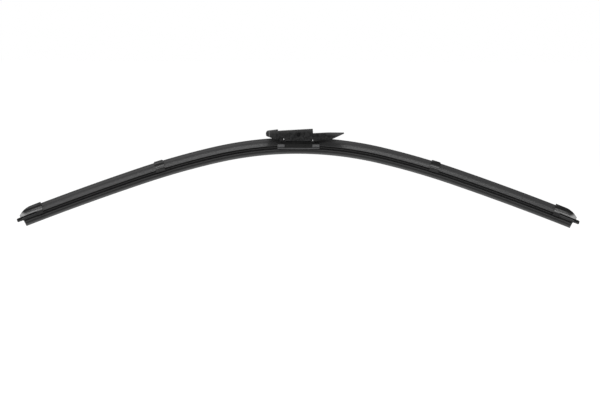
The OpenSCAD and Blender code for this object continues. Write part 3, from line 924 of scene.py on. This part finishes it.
@dataclass(frozen=True)
class PaintedLightBand:
    """A paler band of painted light round an extrusion's section, from one distance of its first
    point to another.

    The distances are in metres, the share says how strong it is, and the drift breaks it up.
    """

    start: float
    end: float
    share: float
    soft: float = 0.0008
    drifting: float = 0.6
    steady: float = 0.7

    def cover(self, nodes: NodeTree, drift: Socket) -> Socket:
        """Adds the nodes of the band.

        Args:
            nodes: the finish's nodes.
            drift: the slow pattern of the surface.

        Returns:
            How far the band covers a point.
        """
        across = nodes.axes(nodes.add("ShaderNodeUVMap", uv_map="flow").outputs["UV"])["Y"]
        rise = nodes.ramp(across, self.start - self.soft, self.start + self.soft)
        fall = nodes.ramp(across, self.end - self.soft, self.end + self.soft)
        patchy = nodes.plus(nodes.times(drift, self.drifting), self.steady)
        share = nodes.times(nodes.math("SUBTRACT", rise, fall), patchy)
        return nodes.times(share, self.share, clamp=True)


@dataclass(frozen=True)
class Fade:
    """A painted highlight: a slow turn towards a paler grey, between two distances along a
    direction of the piece.

    The distances are in metres. Where the fade is mirrored, x is counted from the middle of the
    blade on both of its sides. After its stop the fade ends, over a fifth of its own length.
    """

    towards: Vector3
    start: float
    end: float
    grey: float
    mirrored: bool = False
    stop: float = 1.0

    def cover(self, nodes: NodeTree, place: Socket) -> Socket:
        """Adds the nodes of the fade.

        Args:
            nodes: the finish's nodes.
            place: the point's place on the piece.

        Returns:
            How far a point has gone from the fade's start to its end, on a smooth curve.
        """
        axes = nodes.axes(place)
        x = nodes.math("ABSOLUTE", axes["X"]) if self.mirrored else axes["X"]
        run = nodes.times(x, self.towards[0])
        for axis, factor in zip("YZ", self.towards[1:]):
            run = nodes.plus(run, nodes.times(axes[axis], factor))
        fall = nodes.ramp(run, self.stop, self.stop + (self.end - self.start) / 5)
        return nodes.math("SUBTRACT", nodes.ramp(run, self.start, self.end), fall, clamp=True)


@dataclass(frozen=True)
class Finish:
    """A finish of one material slot: its colours, gloss and fine relief."""

    name: str
    slot: str
    surface: Surface
    dark: Vector3
    light: Vector3
    worn_and_painted_light: Vector3
    rough: float
    rough_spread: float = 0.1
    specular: float = 0.5
    metallic: float = 0.0
    grain: float = 3200.0
    relief: float = 0.000012
    wear: float = 0.3
    dust: float = 0.1
    # Bands and fades of painted light, paler where light falls on the piece.
    bands: tuple[PaintedLightBand, ...] = ()
    fades: tuple[Fade, ...] = ()

    def build(self, groups: Groups) -> bpy.types.Material:
        """Makes the material.

        The roughness follows the slow pattern of the surface and rises under dust, and the relief
        is a bump from the fine pattern.

        Args:
            groups: the shared shader groups.

        Returns:
            The material, named after the finish.
        """
        material = bpy.data.materials.new(self.name)
        nodes = NodeTree.fresh(material)
        place = nodes.add("ShaderNodeTexCoord").outputs["Object"]
        height, drift = self.pattern(nodes, groups, place)
        dusty = nodes.group(groups.dust, Vector=place, Amount=self.dust).outputs["Mask"]
        spread = nodes.times(nodes.math("SUBTRACT", drift, 0.5), self.rough_spread)
        rough = nodes.plus(spread, self.rough)
        rough = nodes.plus(rough, nodes.times(dusty, DUST_ROUGH), clamp=True)
        bump = nodes.add("ShaderNodeBump")
        bump.inputs["Distance"].default_value = self.relief
        nodes.put(bump.inputs["Height"], height)
        shader = nodes.add("ShaderNodeBsdfPrincipled")
        looks = {
            "Base Color": self.colour(nodes, groups, place, drift, dusty),
            "Roughness": rough,
            "Normal": bump.outputs["Normal"],
            "Metallic": self.metallic,
            "Specular IOR Level": self.specular,
        }
        for label, value in looks.items():
            nodes.put(shader.inputs[label], value)
        nodes.surface("ShaderNodeOutputMaterial", shader.outputs["BSDF"])
        return material

    def pattern(self, nodes: NodeTree, groups: Groups, place: Socket) -> tuple[Socket, Socket]:
        """Lays the pattern of the surface on a piece, along its flow where it is an extrusion.

        Args:
            nodes: the finish's nodes.
            groups: the shared shader groups.
            place: the point's place on the piece.

        Returns:
            The height of the fine relief, and the slow drift from dark to light.
        """
        if self.surface is Surface.EXTRUDED:
            flow = nodes.add("ShaderNodeUVMap", uv_map="flow").outputs["UV"]
            lines = nodes.group(groups.streaks, Flow=flow).outputs
            drift = nodes.plus(nodes.times(lines["Bands"], 0.5), nodes.times(lines["Patches"], 0.5))
            return lines["Height"], drift
        vector = nodes.stretched(place, STRETCH[self.surface])
        grain = nodes.group(groups.grain, Vector=vector, Scale=self.grain).outputs
        return grain["Height"], nodes.ramp(grain["Drift"], low=0.3, high=0.7)

    def colour(
        self, nodes: NodeTree, groups: Groups, place: Socket, drift: Socket, dusty: Socket
    ) -> Socket:
        """Mixes the colour of a point.

        It runs from dark to light with the drift. Bands of painted light turn it towards the worn
        and painted light colour, and painted highlights fade it towards their grey. Rubbed edges
        take the same colour, and dust has its own.

        Args:
            nodes: the finish's nodes.
            groups: the shared shader groups.
            place: the point's place on the piece.
            drift: the slow pattern of the surface.
            dusty: how thick the dust lies.

        Returns:
            The colour.
        """
        worn_and_painted_light = (*self.worn_and_painted_light, 1.0)
        colour = nodes.mix(drift, (*self.dark, 1.0), (*self.light, 1.0))
        # Painted light: the bands and fades pale the colour where light falls on the piece.
        for band in self.bands:
            colour = nodes.mix(band.cover(nodes, drift), colour, worn_and_painted_light)
        for fade in self.fades:
            colour = nodes.mix(fade.cover(nodes, place), colour, (fade.grey,) * 3 + (1.0,))
        rubbed = nodes.group(groups.wear, Vector=place).outputs["Mask"]
        colour = nodes.mix(nodes.times(rubbed, self.wear, clamp=True), colour, worn_and_painted_light)
        return nodes.mix(dusty, colour, DUST)


RUBBER = Finish(
    "wiping_rubber", "wiping_rubber", Surface.EXTRUDED,
    (0.012, 0.012, 0.0125), (0.021, 0.021, 0.022), (0.18, 0.18, 0.18),
    rough=0.55, rough_spread=0.25, specular=0.25, relief=0.00002, wear=0.25, dust=0.1,
    # The bands are painted light: a paler lip for light thrown up from the floor, and a paler
    # shoulder and head against the shade under the spoiler's foot.
    bands=(PaintedLightBand(-0.002, 0.0022, 0.8, 0.002), PaintedLightBand(0.0052, 0.0068, 0.2), PaintedLightBand(0.0122, 0.0150, 0.2)),
)
ELASTOMER = Finish(
    "spoiler_elastomer", "spoiler", Surface.EXTRUDED,
    (0.036, 0.036, 0.037), (0.05, 0.05, 0.051), (0.095, 0.095, 0.095),
    rough=0.45, rough_spread=0.14, specular=0.3, relief=0.000014, wear=0.35, dust=0.08,
)
# Painted shade: the spoiler's foot is darker and duller where the fin's ledge overhangs it.
FOOT_PAINTED_SHADE = Finish(
    "spoiler_foot", "spoiler", Surface.EXTRUDED,
    (0.004, 0.004, 0.004), (0.008, 0.008, 0.008), (0.03, 0.03, 0.03),
    rough=0.5, rough_spread=0.12, specular=0.04, relief=0.000008, wear=0.2, dust=0.04,
)
CLIP_PLASTIC = Finish(
    "clip_plastic", "clip", Surface.MOULDED,
    (0.006, 0.006, 0.006), (0.012, 0.012, 0.012), (0.06, 0.06, 0.06),
    rough=0.26, rough_spread=0.1, specular=0.3, relief=0.000005, wear=0.3, dust=0.05,
)
CAP_PLASTIC = Finish(
    "end_cap_plastic", "end_cap", Surface.MOULDED,
    (0.006, 0.006, 0.006), (0.011, 0.011, 0.012), (0.05, 0.05, 0.05),
    rough=0.25, rough_spread=0.1, specular=0.24, relief=0.000004, wear=0.25, dust=0.05,
    # Painted highlights: paler along the lower ledge of each cap and paler still towards its tip,
    # where the glossy ledge catches the overhead light.
    fades=(
        Fade((-0.35, 0.0, -1.0), -0.0119, -0.0100, 0.19, mirrored=True, stop=-0.0096),
        Fade((0.5, 0.0, -1.0), 0.2262, 0.2305, 0.38, mirrored=True),
    ),
)
BRACKET_PAINT = Finish(
    "bracket_paint", "bracket", Surface.MOULDED,
    (0.006, 0.006, 0.0062), (0.012, 0.012, 0.0125), (0.2, 0.2, 0.21),
    rough=0.45, rough_spread=0.12, specular=0.15, grain=1500.0, relief=0.000008, dust=0.05,
)
# A lighter finish for the hem and the skirts' ledge: painted highlight where they catch the
# overhead light, on the hem partly the sheet's bare edge.
BRACKET_HEM_HIGHLIGHT = Finish(
    "bracket_hem_highlight", "bracket", Surface.MOULDED,
    (0.06, 0.06, 0.062), (0.1, 0.1, 0.103), (0.3, 0.3, 0.31),
    rough=0.35, rough_spread=0.12, specular=0.5, grain=1500.0, relief=0.000008, wear=0.4, dust=0.1,
)
LINER_PLASTIC = Finish(
    "liner_plastic", "liner", Surface.MOULDED,
    (0.006, 0.006, 0.006), (0.011, 0.011, 0.011), (0.05, 0.05, 0.05),
    rough=0.5, rough_spread=0.12, specular=0.2, relief=0.00001, wear=0.25, dust=0.08,
)
RAIL_STEEL = Finish(
    "spring_steel", "spring_steel", Surface.ROLLED,
    (0.05, 0.05, 0.052), (0.09, 0.09, 0.093), (0.3, 0.3, 0.3),
    rough=0.38, rough_spread=0.2, metallic=1.0, grain=5200.0, relief=0.000006, wear=0.5, dust=0.05,
)
# Painted shade: the pin is nearly black for the shade of the recess round its end.
PIN_STEEL_PAINTED_SHADE = Finish(
    "pin_steel", "pin", Surface.MOULDED,
    (0.006, 0.006, 0.0065), (0.011, 0.011, 0.0115), (0.08, 0.08, 0.08),
    rough=0.4, rough_spread=0.2, metallic=1.0, grain=2600.0, relief=0.000006, wear=0.4, dust=0.05,
)
SLEEVE_STEEL = Finish(
    "sleeve_steel", "sleeve", Surface.ROLLED,
    (0.3, 0.3, 0.31), (0.42, 0.42, 0.43), (0.6, 0.6, 0.6),
    rough=0.32, rough_spread=0.15, metallic=1.0, grain=5200.0, relief=0.000006, wear=0.3, dust=0.03,
)
ADAPTER_PLASTIC = Finish(
    "adapter_plastic", "adapter", Surface.MOULDED,
    (0.005, 0.005, 0.0053), (0.0072, 0.0072, 0.0077), (0.06, 0.06, 0.06),
    rough=0.42, rough_spread=0.12, specular=0.13, relief=0.000011, wear=0.4, dust=0.03,
    # Painted highlights: paler towards the top of the block and along the tail's upper face, where
    # the overhead light falls.
    fades=(
        Fade((1.0, 0.0, 5.0), 0.002, 0.021, 0.07),
        Fade((-0.061, 0.0, 1.0), -0.0038, 0.0002, 0.042),
    ),
)
# Painted highlight: the pale streak on the nose's rounded corner, where it catches the light.
ADAPTER_NOSE_HIGHLIGHT = Finish(
    "adapter_nose_highlight", "adapter", Surface.MOULDED,
    (0.085, 0.085, 0.086), (0.11, 0.11, 0.112), (0.14, 0.14, 0.14),
    rough=0.36, rough_spread=0.12, specular=0.2, relief=0.000008, wear=0.4, dust=0.03,
)


@dataclass
class Workshop:
    """The frame's nodes, the finishes made so far and how edges are broken, for all assemblies.

    The merge distance is in metres, and the angles are in degrees. Faces with more corners than
    are kept are cut into triangles.
    """

    nodes: dict[str, bpy.types.Object]
    groups: Groups = field(default_factory=Groups)
    made: dict[str, bpy.types.Material] = field(default_factory=dict)
    merge_distance: float = 1e-6
    flat_angle: float = 0.4
    edge_angle: float = 28.0
    edge_strips: int = 2
    corners_kept: int = 4

    def material(self, finish: Finish) -> bpy.types.Material:
        """Gives the material of a finish, made when it is first asked for.

        Args:
            finish: the finish.

        Returns:
            Its material.
        """
        if finish.name not in self.made:
            self.made[finish.name] = finish.build(self.groups)
        return self.made[finish.name]

    def mount(self, piece: bpy.types.Object, body: str, node: str) -> None:
        """Lets a piece stand for a node of the frame.

        Args:
            piece: the finished piece.
            body: the body that it moves with.
            node: the node that it stands for.
        """
        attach(piece, body)
        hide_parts(node)
        LOG.info("%s: %d faces, rides on %s", piece.name, len(piece.data.polygons), body)

    def moulding(
        self, node: str, finish: Finish, bevel: float, shape: Shaping | None = None
    ) -> bpy.types.Object:
        """Copies a node's solid and breaks its edges as a tool or a mould would.

        Args:
            node: the node to copy.
            finish: its finish.
            bevel: width of the broken edges in millimetres.
            shape: what is done to the copy before its edges are broken.

        Returns:
            The new piece, named after the node.
        """
        mesh = self.nodes[node].data.copy()
        mesh.name = f"{node}_piece"
        work = bmesh.new()
        work.from_mesh(mesh)
        bmesh.ops.remove_doubles(work, verts=work.verts, dist=self.merge_distance)
        flat = math.radians(self.flat_angle)
        bmesh.ops.dissolve_limit(
            work, angle_limit=flat, verts=work.verts, edges=work.edges, delimit={"NORMAL"}
        )
        many = [face for face in work.faces if len(face.verts) > self.corners_kept]
        bmesh.ops.triangulate(work, faces=many)
        work.to_mesh(mesh)
        work.free()
        if shape is not None:
            shape(mesh)
        mesh.materials.clear()
        mesh.materials.append(self.material(finish))
        piece = placed(mesh.name, mesh)
        cut = piece.modifiers.new("broken_edges", "BEVEL")
        cut.width = bevel * MM
        cut.segments = self.edge_strips
        cut.limit_method = "ANGLE"
        cut.angle_limit = math.radians(self.edge_angle)
        cut.miter_outer = "MITER_ARC"
        settle(piece)
        finish_shading(piece.data, MOULDED_SHARP)
        return piece


@dataclass
class WipingElement:
    """The wiping rubber and the two spring rails in its grooves."""

    arch: Arch
    section: Section
    tongue_len: float = 7.0
    tongue_r: float = 1.5
    blade_len: float = 603.5
    cap_reach: float = 2.25
    cap_len: float = 24.4
    cap_wall: float = 1.1
    cap_socket: float = 3.0
    cap_claw_len: float = 6.0
    clip_left: float = 142.0
    clip_right: float = 139.5
    notch_d: float = 0.6
    notch_len: float = 2.2
    notch_wall: float = 0.01
    rail_step: float = 4.0
    over_reach: float = 1.0
    trim_root: float = 0.4
    trim_len: float = 9.0
    trim_margin: float = 2.0
    trim_half_w: float = 4.0

    @property
    def lip_end(self) -> float:
        """Finds the end of the lip.

        Returns:
            Its arc length from the middle of the wiping edge.
        """
        half = self.blade_len / 2
        middle = (self.section.head_base + self.section.head_top) / 2
        return half - self.tongue_len - middle * float(self.arch.angle(np.array(half)))

    @property
    def cap_start(self) -> float:
        """Arc length at which an end cap starts, seen from the middle."""
        return self.lip_end + self.cap_reach - self.cap_len

    def clip_at(self, side: Side) -> float:
        """Distance of a clip from the middle, along the arch."""
        return self.clip_left if side is Side.LEFT else self.clip_right

    def end_cut(self, steps: int = 8) -> Array:
        """Draws what is trimmed off the rubber's end, under the tongue and round its tip.

        A quarter turn runs out of the lip's end and two run round the tip, and straight lines
        close the outline at a distance from the rubber.

        Args:
            steps: strips in each quarter turn.

        Returns:
            Points of the side view, along and up from the end of the lip.
        """
        r, base, top = self.tongue_r, self.section.head_base, self.section.head_top
        root, tip = r + self.trim_root, self.tongue_len - r
        far, low, high = self.tongue_len + self.trim_len, -self.trim_margin, top + self.trim_margin
        turn = np.radians(np.linspace(0, 90, steps + 1))
        sine, cosine = r * np.sin(turn), r * np.cos(turn)
        under = np.column_stack([root - cosine, base - r + sine])
        lower = np.column_stack([tip + sine, base + r - cosine])
        upper = np.column_stack([tip + cosine, top - r + sine])
        rest = [[tip, high], [far, high], [far, low]]
        return np.concatenate([[[0, low]], under, lower, upper, rest])

    def rubber(self, shop: Workshop) -> bpy.types.Object:
        """Sweeps the rubber past both ends and trims them.

        Args:
            shop: finishes and nodes.

        Returns:
            The piece.
        """
        outline = rounded(*self.section.rubber())
        reach = self.lip_end + self.tongue_len + self.over_reach
        mesh = swept(outline, self.arch, stations_between(-reach, reach))
        piece = mesh.build("wiping_rubber_extrusion", shop.material(RUBBER))
        for side in Side:
            trim = self.end_cut() * [side.value, 1]
            cut_away(piece, trim, self.trim_half_w, self.arch, side.value * self.lip_end)
        finish_shading(piece.data)
        return piece

    def rail(self, shop: Workshop, face: Face) -> bpy.types.Object:
        """Sweeps one rail, its outer edge stepping in at the notches.

        Args:
            shop: finishes and nodes.
            face: the face of the blade that it lies on.

        Returns:
            The piece.
        """
        end = self.lip_end + self.cap_reach - self.cap_wall
        cap_notch = self.cap_start + (self.cap_socket + self.cap_claw_len) / 2
        marks = np.array([-cap_notch, -self.clip_left, self.clip_right, cap_notch])
        edges = np.concatenate([marks - self.notch_len / 2, marks + self.notch_len / 2])
        even = stations_between(-end, end, self.rail_step)
        stations = np.sort(np.concatenate([even, edges - self.notch_wall, edges + self.notch_wall]))
        outline = rounded(*self.section.rail())
        mesh = swept(outline, self.arch, stations)
        inside = (np.abs(stations[:, None] - marks[None, :]) < self.notch_len / 2).any(axis=1)
        limit = np.where(inside, self.section.rail_out - self.notch_d, self.section.rail_out)
        rows = mesh.vertices.reshape(len(stations), len(outline), 3)
        rows[:, :, 1] = np.minimum(rows[:, :, 1], limit[:, None] * MM) * face.value
        piece = mesh.build(f"rail_{face.label}_strip", shop.material(RAIL_STEEL))
        outward(piece.data)
        finish_shading(piece.data)
        return piece

    def build(self, shop: Workshop) -> None:
        """Makes the rubber and both rails.

        Args:
            shop: finishes and nodes.
        """
        shop.mount(self.rubber(shop), "blade", "wiping_rubber")
        for face in Face:
            shop.mount(self.rail(shop, face), "blade", f"rail_{face.label}")


@dataclass
class Spoiler:
    """The four lengths of finned spoiler."""

    arch: Arch
    section: Section
    element: WipingElement
    clip_web: float = 2.8
    sleeve_fit: float = 0.12
    bracket_len: float = 43.0
    fin_overlap: float = 5.8
    seam: float = 0.03
    sheet_t: float = 0.9
    cut_below: float = 3.0
    # How far below the ledge the foot's painted shade begins.
    foot_shade_drop: float = 0.25

    def outer(self, shop: Workshop, side: Side) -> bpy.types.Object:
        """Makes the length between a clip and an end cap.

        Args:
            shop: finishes and nodes.
            side: left or right half of the blade.

        Returns:
            The piece.
        """
        element = self.element
        start = element.clip_at(side) + self.clip_web / 2 + self.sleeve_fit
        end = element.cap_start + element.cap_socket - self.sleeve_fit
        return self.length(shop, side, start, end, "outer")

    def inner(self, shop: Workshop, side: Side) -> bpy.types.Object:
        """Makes the length between the bracket and a clip, its fin reaching over the bracket's end.

        Args:
            shop: finishes and nodes.
            side: left or right half of the blade.

        Returns:
            The piece.
        """
        foot = self.bracket_len / 2 + self.seam
        end = self.element.clip_at(side) - self.clip_web / 2 - self.sleeve_fit
        piece = self.length(shop, side, foot - self.fin_overlap, end, "inner")
        low = -self.cut_below
        top = self.section.head_top + self.section.head_fit + self.sheet_t + self.seam
        slab = np.array([[0.0, low], [foot, low], [foot, top], [0.0, top]]) * [side.value, 1]
        cut_away(piece, slab, self.section.foot_w)
        finish_shading(piece.data)
        return piece

    def length(
        self, shop: Workshop, side: Side, start: float, end: float, which: str
    ) -> bpy.types.Object:
        """Sweeps one length.

        Args:
            shop: finishes and nodes.
            side: left or right half of the blade.
            start: arc length of the end nearer to the middle.
            end: arc length of the other end.
            which: inner or outer, for the name.

        Returns:
            The piece.
        """
        outline = rounded(*self.section.spoiler())
        stations = stations_between(start, end)
        if side is Side.LEFT:
            stations = -stations[::-1]
        middle = (outline + np.roll(outline, -1, axis=0)) / 2
        # Faces below the ledge take the foot's darker finish: painted shade under the fin's
        # overhanging ledge.
        foot_shade = middle[:, 1] < self.section.ledge_base - self.foot_shade_drop
        mesh = swept(outline, self.arch, stations, foot_shade)
        name = f"spoiler_{which}_{side.label}_extrusion"
        return mesh.build(name, shop.material(ELASTOMER), shop.material(FOOT_PAINTED_SHADE))

    def build(self, shop: Workshop) -> None:
        """Makes the four lengths.

        Args:
            shop: finishes and nodes.
        """
        for side in Side:
            shop.mount(self.outer(shop, side), "blade", f"spoiler_outer_{side.label}")
            shop.mount(self.inner(shop, side), "blade", f"spoiler_inner_{side.label}")


def between(values: Array, limits: tuple[float, float]) -> Array:
    """Tells which values lie between two limits."""
    return (values > limits[0]) & (values < limits[1])


def vectors(rows: bpy.types.bpy_prop_collection, name: str) -> Array:
    """Reads a vector of every vertex or face of a mesh.

    Args:
        rows: the mesh's vertices or polygons.
        name: co, for the place of a vertex, or center or normal of a face.

    Returns:
        A row for each.
    """
    values = np.empty(len(rows) * 3)
    rows.foreach_get(name, values)
    return values.reshape(-1, 3)


@dataclass
class Mouldings:
    """Clips, caps, bracket, liners, pin, sleeve and adapter, dressed from their own solids.

    The skirts' levels are drawn up to the heights below them. The webs are outlines in the
    adapter's own side view, along and up from the pivot. The nose's corner, which takes a painted
    highlight, is a stretch of x, and its facing is how squarely a face looks sideways there.
    """

    clip_bevel: float = 0.16
    cap_bevel: float = 0.2
    sheet_bevel: float = 0.14
    adapter_bevel: float = 0.22
    small_bevel: float = 0.12
    liner_bevel: float = 0.03
    skirt_levels: tuple[float, ...] = (4.85, 5.75, 6.45, 7.13, 7.56, 8.15, 10.3)
    skirt_drawn: tuple[float, ...] = (5.5, 6.35, 7.2, 7.85, 8.3, 8.8, 10.3)
    skirt_inner: float = 4.95
    web_in: float = 5.6
    web_out: float = 6.9
    nose_web: Outline = (
        (-19.6, -2.2), (-19.6, -5.6), (-14.2, -6.1), (-14.2, -5.05),
        (-15.65, -5.05), (-15.65, -3.1), (-14.8, -3.1), (-14.8, -2.2),
    )
    flank_web: Outline = ((-15.16, -2.9), (-15.16, -5.4), (-14.1, -5.4), (-14.1, -2.9))
    tail_web: Outline = (
        (13.8, 0.0), (13.8, -5.45), (14.4, -5.45), (14.4, -7.6), (15.3, -7.6), (15.3, 0.0),
    )
    # The bracket's skirt faces between these heights and beyond this breadth take its painted
    # highlight.
    ledge: tuple[float, float] = (7.5, 9.6)
    ledge_out: float = 6.15
    # Where the nose's corner takes its painted highlight.
    nose_corner: tuple[float, float] = (-30.5, -28.9)
    nose_facing: tuple[float, float] = (0.95, 0.9995)

    def webs(self, mesh: bpy.types.Mesh) -> None:
        """Adds the thin webs behind the adapter's slits, each an outline given a breadth.

        Args:
            mesh: the adapter's mesh, which is changed.
        """
        work = bmesh.new()
        work.from_mesh(mesh)
        pivot = Pivot()
        lean = math.radians(pivot.tilt)
        turn = np.array([[math.cos(lean), math.sin(lean)], [-math.sin(lean), math.cos(lean)]])
        for outline in (self.nose_web, self.flank_web, self.tail_web):
            place = np.array(outline) @ turn + [0.0, pivot.height] - SEAT[[0, 2]]
            for face in Face:
                inner, outer = (
                    [work.verts.new((x * MM, face.value * y * MM, z * MM)) for x, z in place]
                    for y in (self.web_in, self.web_out)
                )
                sides = [work.faces.new(inner), work.faces.new(outer)]
                for i in range(len(place)):
                    sides.append(work.faces.new([inner[i - 1], inner[i], outer[i], outer[i - 1]]))
                bmesh.ops.recalc_face_normals(work, faces=sides)
                bmesh.ops.triangulate(work, faces=sides[:2])
        work.to_mesh(mesh)
        work.free()

    def draw_up(self, mesh: bpy.types.Mesh) -> None:
        """Draws the bracket's skirts up a little, heights being interpolated between given levels.

        Args:
            mesh: the bracket's mesh, which is changed.
        """
        points = vectors(mesh.vertices, "co")
        height = points[:, 2] / MM + SEAT[2]
        skirts = (np.abs(points[:, 1]) / MM > self.skirt_inner) & (height < self.skirt_levels[-1])
        drawn = (np.interp(height, self.skirt_levels, self.skirt_drawn) - SEAT[2]) * MM
        points[:, 2] = np.where(skirts, drawn, points[:, 2])
        mesh.vertices.foreach_set("co", points.ravel())
        mesh.update()

    def bracket(self, shop: Workshop) -> bpy.types.Object:
        """Makes the bracket, with a lighter finish on the hem and the ledge of its skirts: a
        painted highlight where they catch the overhead light, on the hem partly the sheet's bare
        edge.

        Args:
            shop: finishes and nodes.

        Returns:
            The piece.
        """
        piece = shop.moulding("centre_bracket", BRACKET_PAINT, self.sheet_bevel, self.draw_up)
        centres = vectors(piece.data.polygons, "center") / MM
        height = centres[:, 2] + SEAT[2]
        low = height < self.skirt_drawn[1] + self.sheet_bevel
        ledge = between(height, self.ledge) & (np.abs(centres[:, 1]) > self.ledge_out)
        # The hem and the ledge take a lighter finish: painted highlight, on the hem partly bare
        # metal.
        self.second_finish(piece, shop.material(BRACKET_HEM_HIGHLIGHT), low | ledge)
        return piece

    def adapter(self, shop: Workshop) -> bpy.types.Object:
        """Makes the adapter, with a painted highlight on the rounded corner of its nose: a paler
        finish where the corner catches the light.

        Args:
            shop: finishes and nodes.

        Returns:
            The piece.
        """
        piece = shop.moulding("adapter", ADAPTER_PLASTIC, self.adapter_bevel, self.webs)
        x = vectors(piece.data.polygons, "center")[:, 0] / MM
        sideways = np.abs(vectors(piece.data.polygons, "normal")[:, 1])
        corner = between(x, self.nose_corner) & between(sideways, self.nose_facing)
        # The nose's corner takes a painted highlight, a pale streak where it catches the light.
        self.second_finish(piece, shop.material(ADAPTER_NOSE_HIGHLIGHT), corner)
        return piece

    @staticmethod
    def second_finish(piece: bpy.types.Object, material: bpy.types.Material, chosen: Array) -> None:
        """Gives the chosen faces of a piece a second finish."""
        piece.data.materials.append(material)
        piece.data.polygons.foreach_set("material_index", chosen.astype(np.int32))

    def build(self, shop: Workshop) -> None:
        """Makes every moulding and stamping, each in the place of its node.

        Args:
            shop: finishes and nodes.
        """
        for side in Side:
            self.one(shop, f"rail_clip_{side.label}", CLIP_PLASTIC, self.clip_bevel)
            self.one(shop, f"end_cap_{side.label}", CAP_PLASTIC, self.cap_bevel)
        for face in Face:
            self.one(shop, f"bracket_liner_{face.label}", LINER_PLASTIC, self.liner_bevel)
        shop.mount(self.bracket(shop), "blade", "centre_bracket")
        self.one(shop, "pivot_pin", PIN_STEEL_PAINTED_SHADE, self.small_bevel)
        self.one(shop, "spacer_sleeve", SLEEVE_STEEL, self.small_bevel)
        shop.mount(self.adapter(shop), "adapter", "adapter")

    @staticmethod
    def one(shop: Workshop, node: str, finish: Finish, bevel: float) -> None:
        """Makes one piece of the blade from its node and mounts it."""
        shop.mount(shop.moulding(node, finish, bevel), "blade", node)


@dataclass(frozen=True)
class Lamp:
    """A soft rectangular lamp. Its place, size and aim are in metres, and its power in watts."""

    name: str
    place: Vector3
    size: tuple[float, float]
    power: float
    aim: Vector3 = (0.0, 0.0, -0.04)

    def hang(self) -> None:
        """Puts the lamp into the scene, turned to its aim."""
        data = bpy.data.lights.new(self.name, "AREA")
        data.shape = "RECTANGLE"
        data.size, data.size_y = self.size
        data.energy = self.power
        towards = Vector(self.aim) - Vector(self.place)
        turn = towards.to_track_quat("-Z", "Y").to_matrix().to_4x4()
        placed(self.name, data).matrix_world = Matrix.Translation(self.place) @ turn


@dataclass
class Studio:
    """Camera, floor, backdrop light and lamps.

    Target, frame width and sensor are in millimetres, other lengths in metres and angles in
    degrees.
    """

    target: Vector3 = (2.07, 0.0, -72.4)
    distance: float = 3.2
    elevation: float = 3.5
    frame_width: float = 618.0
    roll: float = 0.215
    sensor_width: float = 36.0
    sight: float = 50.0
    floor_half: float = 12.0
    floor_gap: float = 0.031
    floor_white: float = 0.86
    floor_shade: float = 0.12
    floor_glow: float = 0.95
    world_fill: float = 0.5
    lamps: tuple[Lamp, ...] = (
        Lamp("overhead_strip", (0.0, 0.5, 1.25), (1.9, 0.35), 8.0),
        Lamp("front_softbox", (-0.6, -1.9, 1.1), (1.4, 1.0), 16.0),
    )

    def camera(self) -> None:
        """Places a long lens at the photograph's angle, aimed below the blade's middle."""
        data = bpy.data.cameras.new("camera")
        data.sensor_width = self.sensor_width
        data.lens = data.sensor_width * self.distance / (self.frame_width * MM)
        data.clip_end = self.sight
        lift = math.radians(self.elevation)
        away = Vector((0, -math.cos(lift), math.sin(lift)))
        stand = Matrix.Translation(Vector(self.target) * MM + away * self.distance)
        turn = away.to_track_quat("Z", "Y").to_matrix().to_4x4()
        camera = placed("camera", data)
        camera.matrix_world = stand @ turn @ Matrix.Rotation(math.radians(self.roll), 4, "Z")
        bpy.context.scene.camera = camera

    def floor(self, low: float) -> None:
        """Lays a wide pale floor just under the lowest point that the turned blade's ends reach.

        Args:
            low: height of the lowest point of the part, in metres.
        """
        square = np.array([[-1, -1], [1, -1], [1, 1], [-1, 1]]) * self.floor_half
        corners = np.column_stack([square, np.full(len(square), low - self.floor_gap)])
        material = bpy.data.materials.new("studio_floor")
        nodes = NodeTree.fresh(material)
        plain = nodes.fed("ShaderNodeBsdfDiffuse", (self.floor_white,) * 3 + (1,)).outputs[0]
        shaded = nodes.fed("ShaderNodeBsdfDiffuse", (self.floor_shade,) * 3 + (1,)).outputs[0]
        glow = nodes.fed("ShaderNodeEmission", (1, 1, 1, 1), self.floor_glow).outputs[0]
        bright = nodes.fed("ShaderNodeAddShader", shaded, glow).outputs[0]
        seen = nodes.seen_by("Is Glossy Ray")
        both = nodes.fed("ShaderNodeMixShader", seen, plain, bright).outputs[0]
        nodes.surface("ShaderNodeOutputMaterial", both)
        Mesh(corners, [[0, 1, 2, 3]]).build("studio_floor", material)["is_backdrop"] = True

    def world(self) -> None:
        """Lights the part from all round at a low level, and shows white behind it."""
        world = bpy.data.worlds.new("studio")
        nodes = NodeTree.fresh(world)
        fill, white = (
            nodes.fed("ShaderNodeBackground", (1, 1, 1, 1), strength).outputs[0]
            for strength in (self.world_fill, 1.0)
        )
        seen = nodes.seen_by("Is Transmission Ray")
        both = nodes.fed("ShaderNodeMixShader", seen, fill, white).outputs[0]
        nodes.surface("ShaderNodeOutputWorld", both)
        bpy.context.scene.world = world

    def build(self, low: float) -> None:
        """Sets up the whole studio.

        Args:
            low: height of the lowest point of the part, in metres.
        """
        self.camera()
        self.floor(low)
        self.world()
        for lamp in self.lamps:
            lamp.hang()
        bpy.context.scene.view_settings.view_transform = "Standard"


def main() -> None:
    """Builds the wiper blade's pieces and its studio, whose floor goes under the model's lowest
    point.
    """
    logging.basicConfig(level=logging.INFO, format="%(name)s: %(message)s")
    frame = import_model()
    cad_box = [list(corner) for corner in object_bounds()]
    arch, section = Arch(), Section()
    shop = Workshop(frame["nodes"])
    element = WipingElement(arch, section)
    element.build(shop)
    Spoiler(arch, section, element).build(shop)
    Mouldings().build(shop)
    Studio().build(cad_box[0][2])


if __name__ == "__main__":
    main()
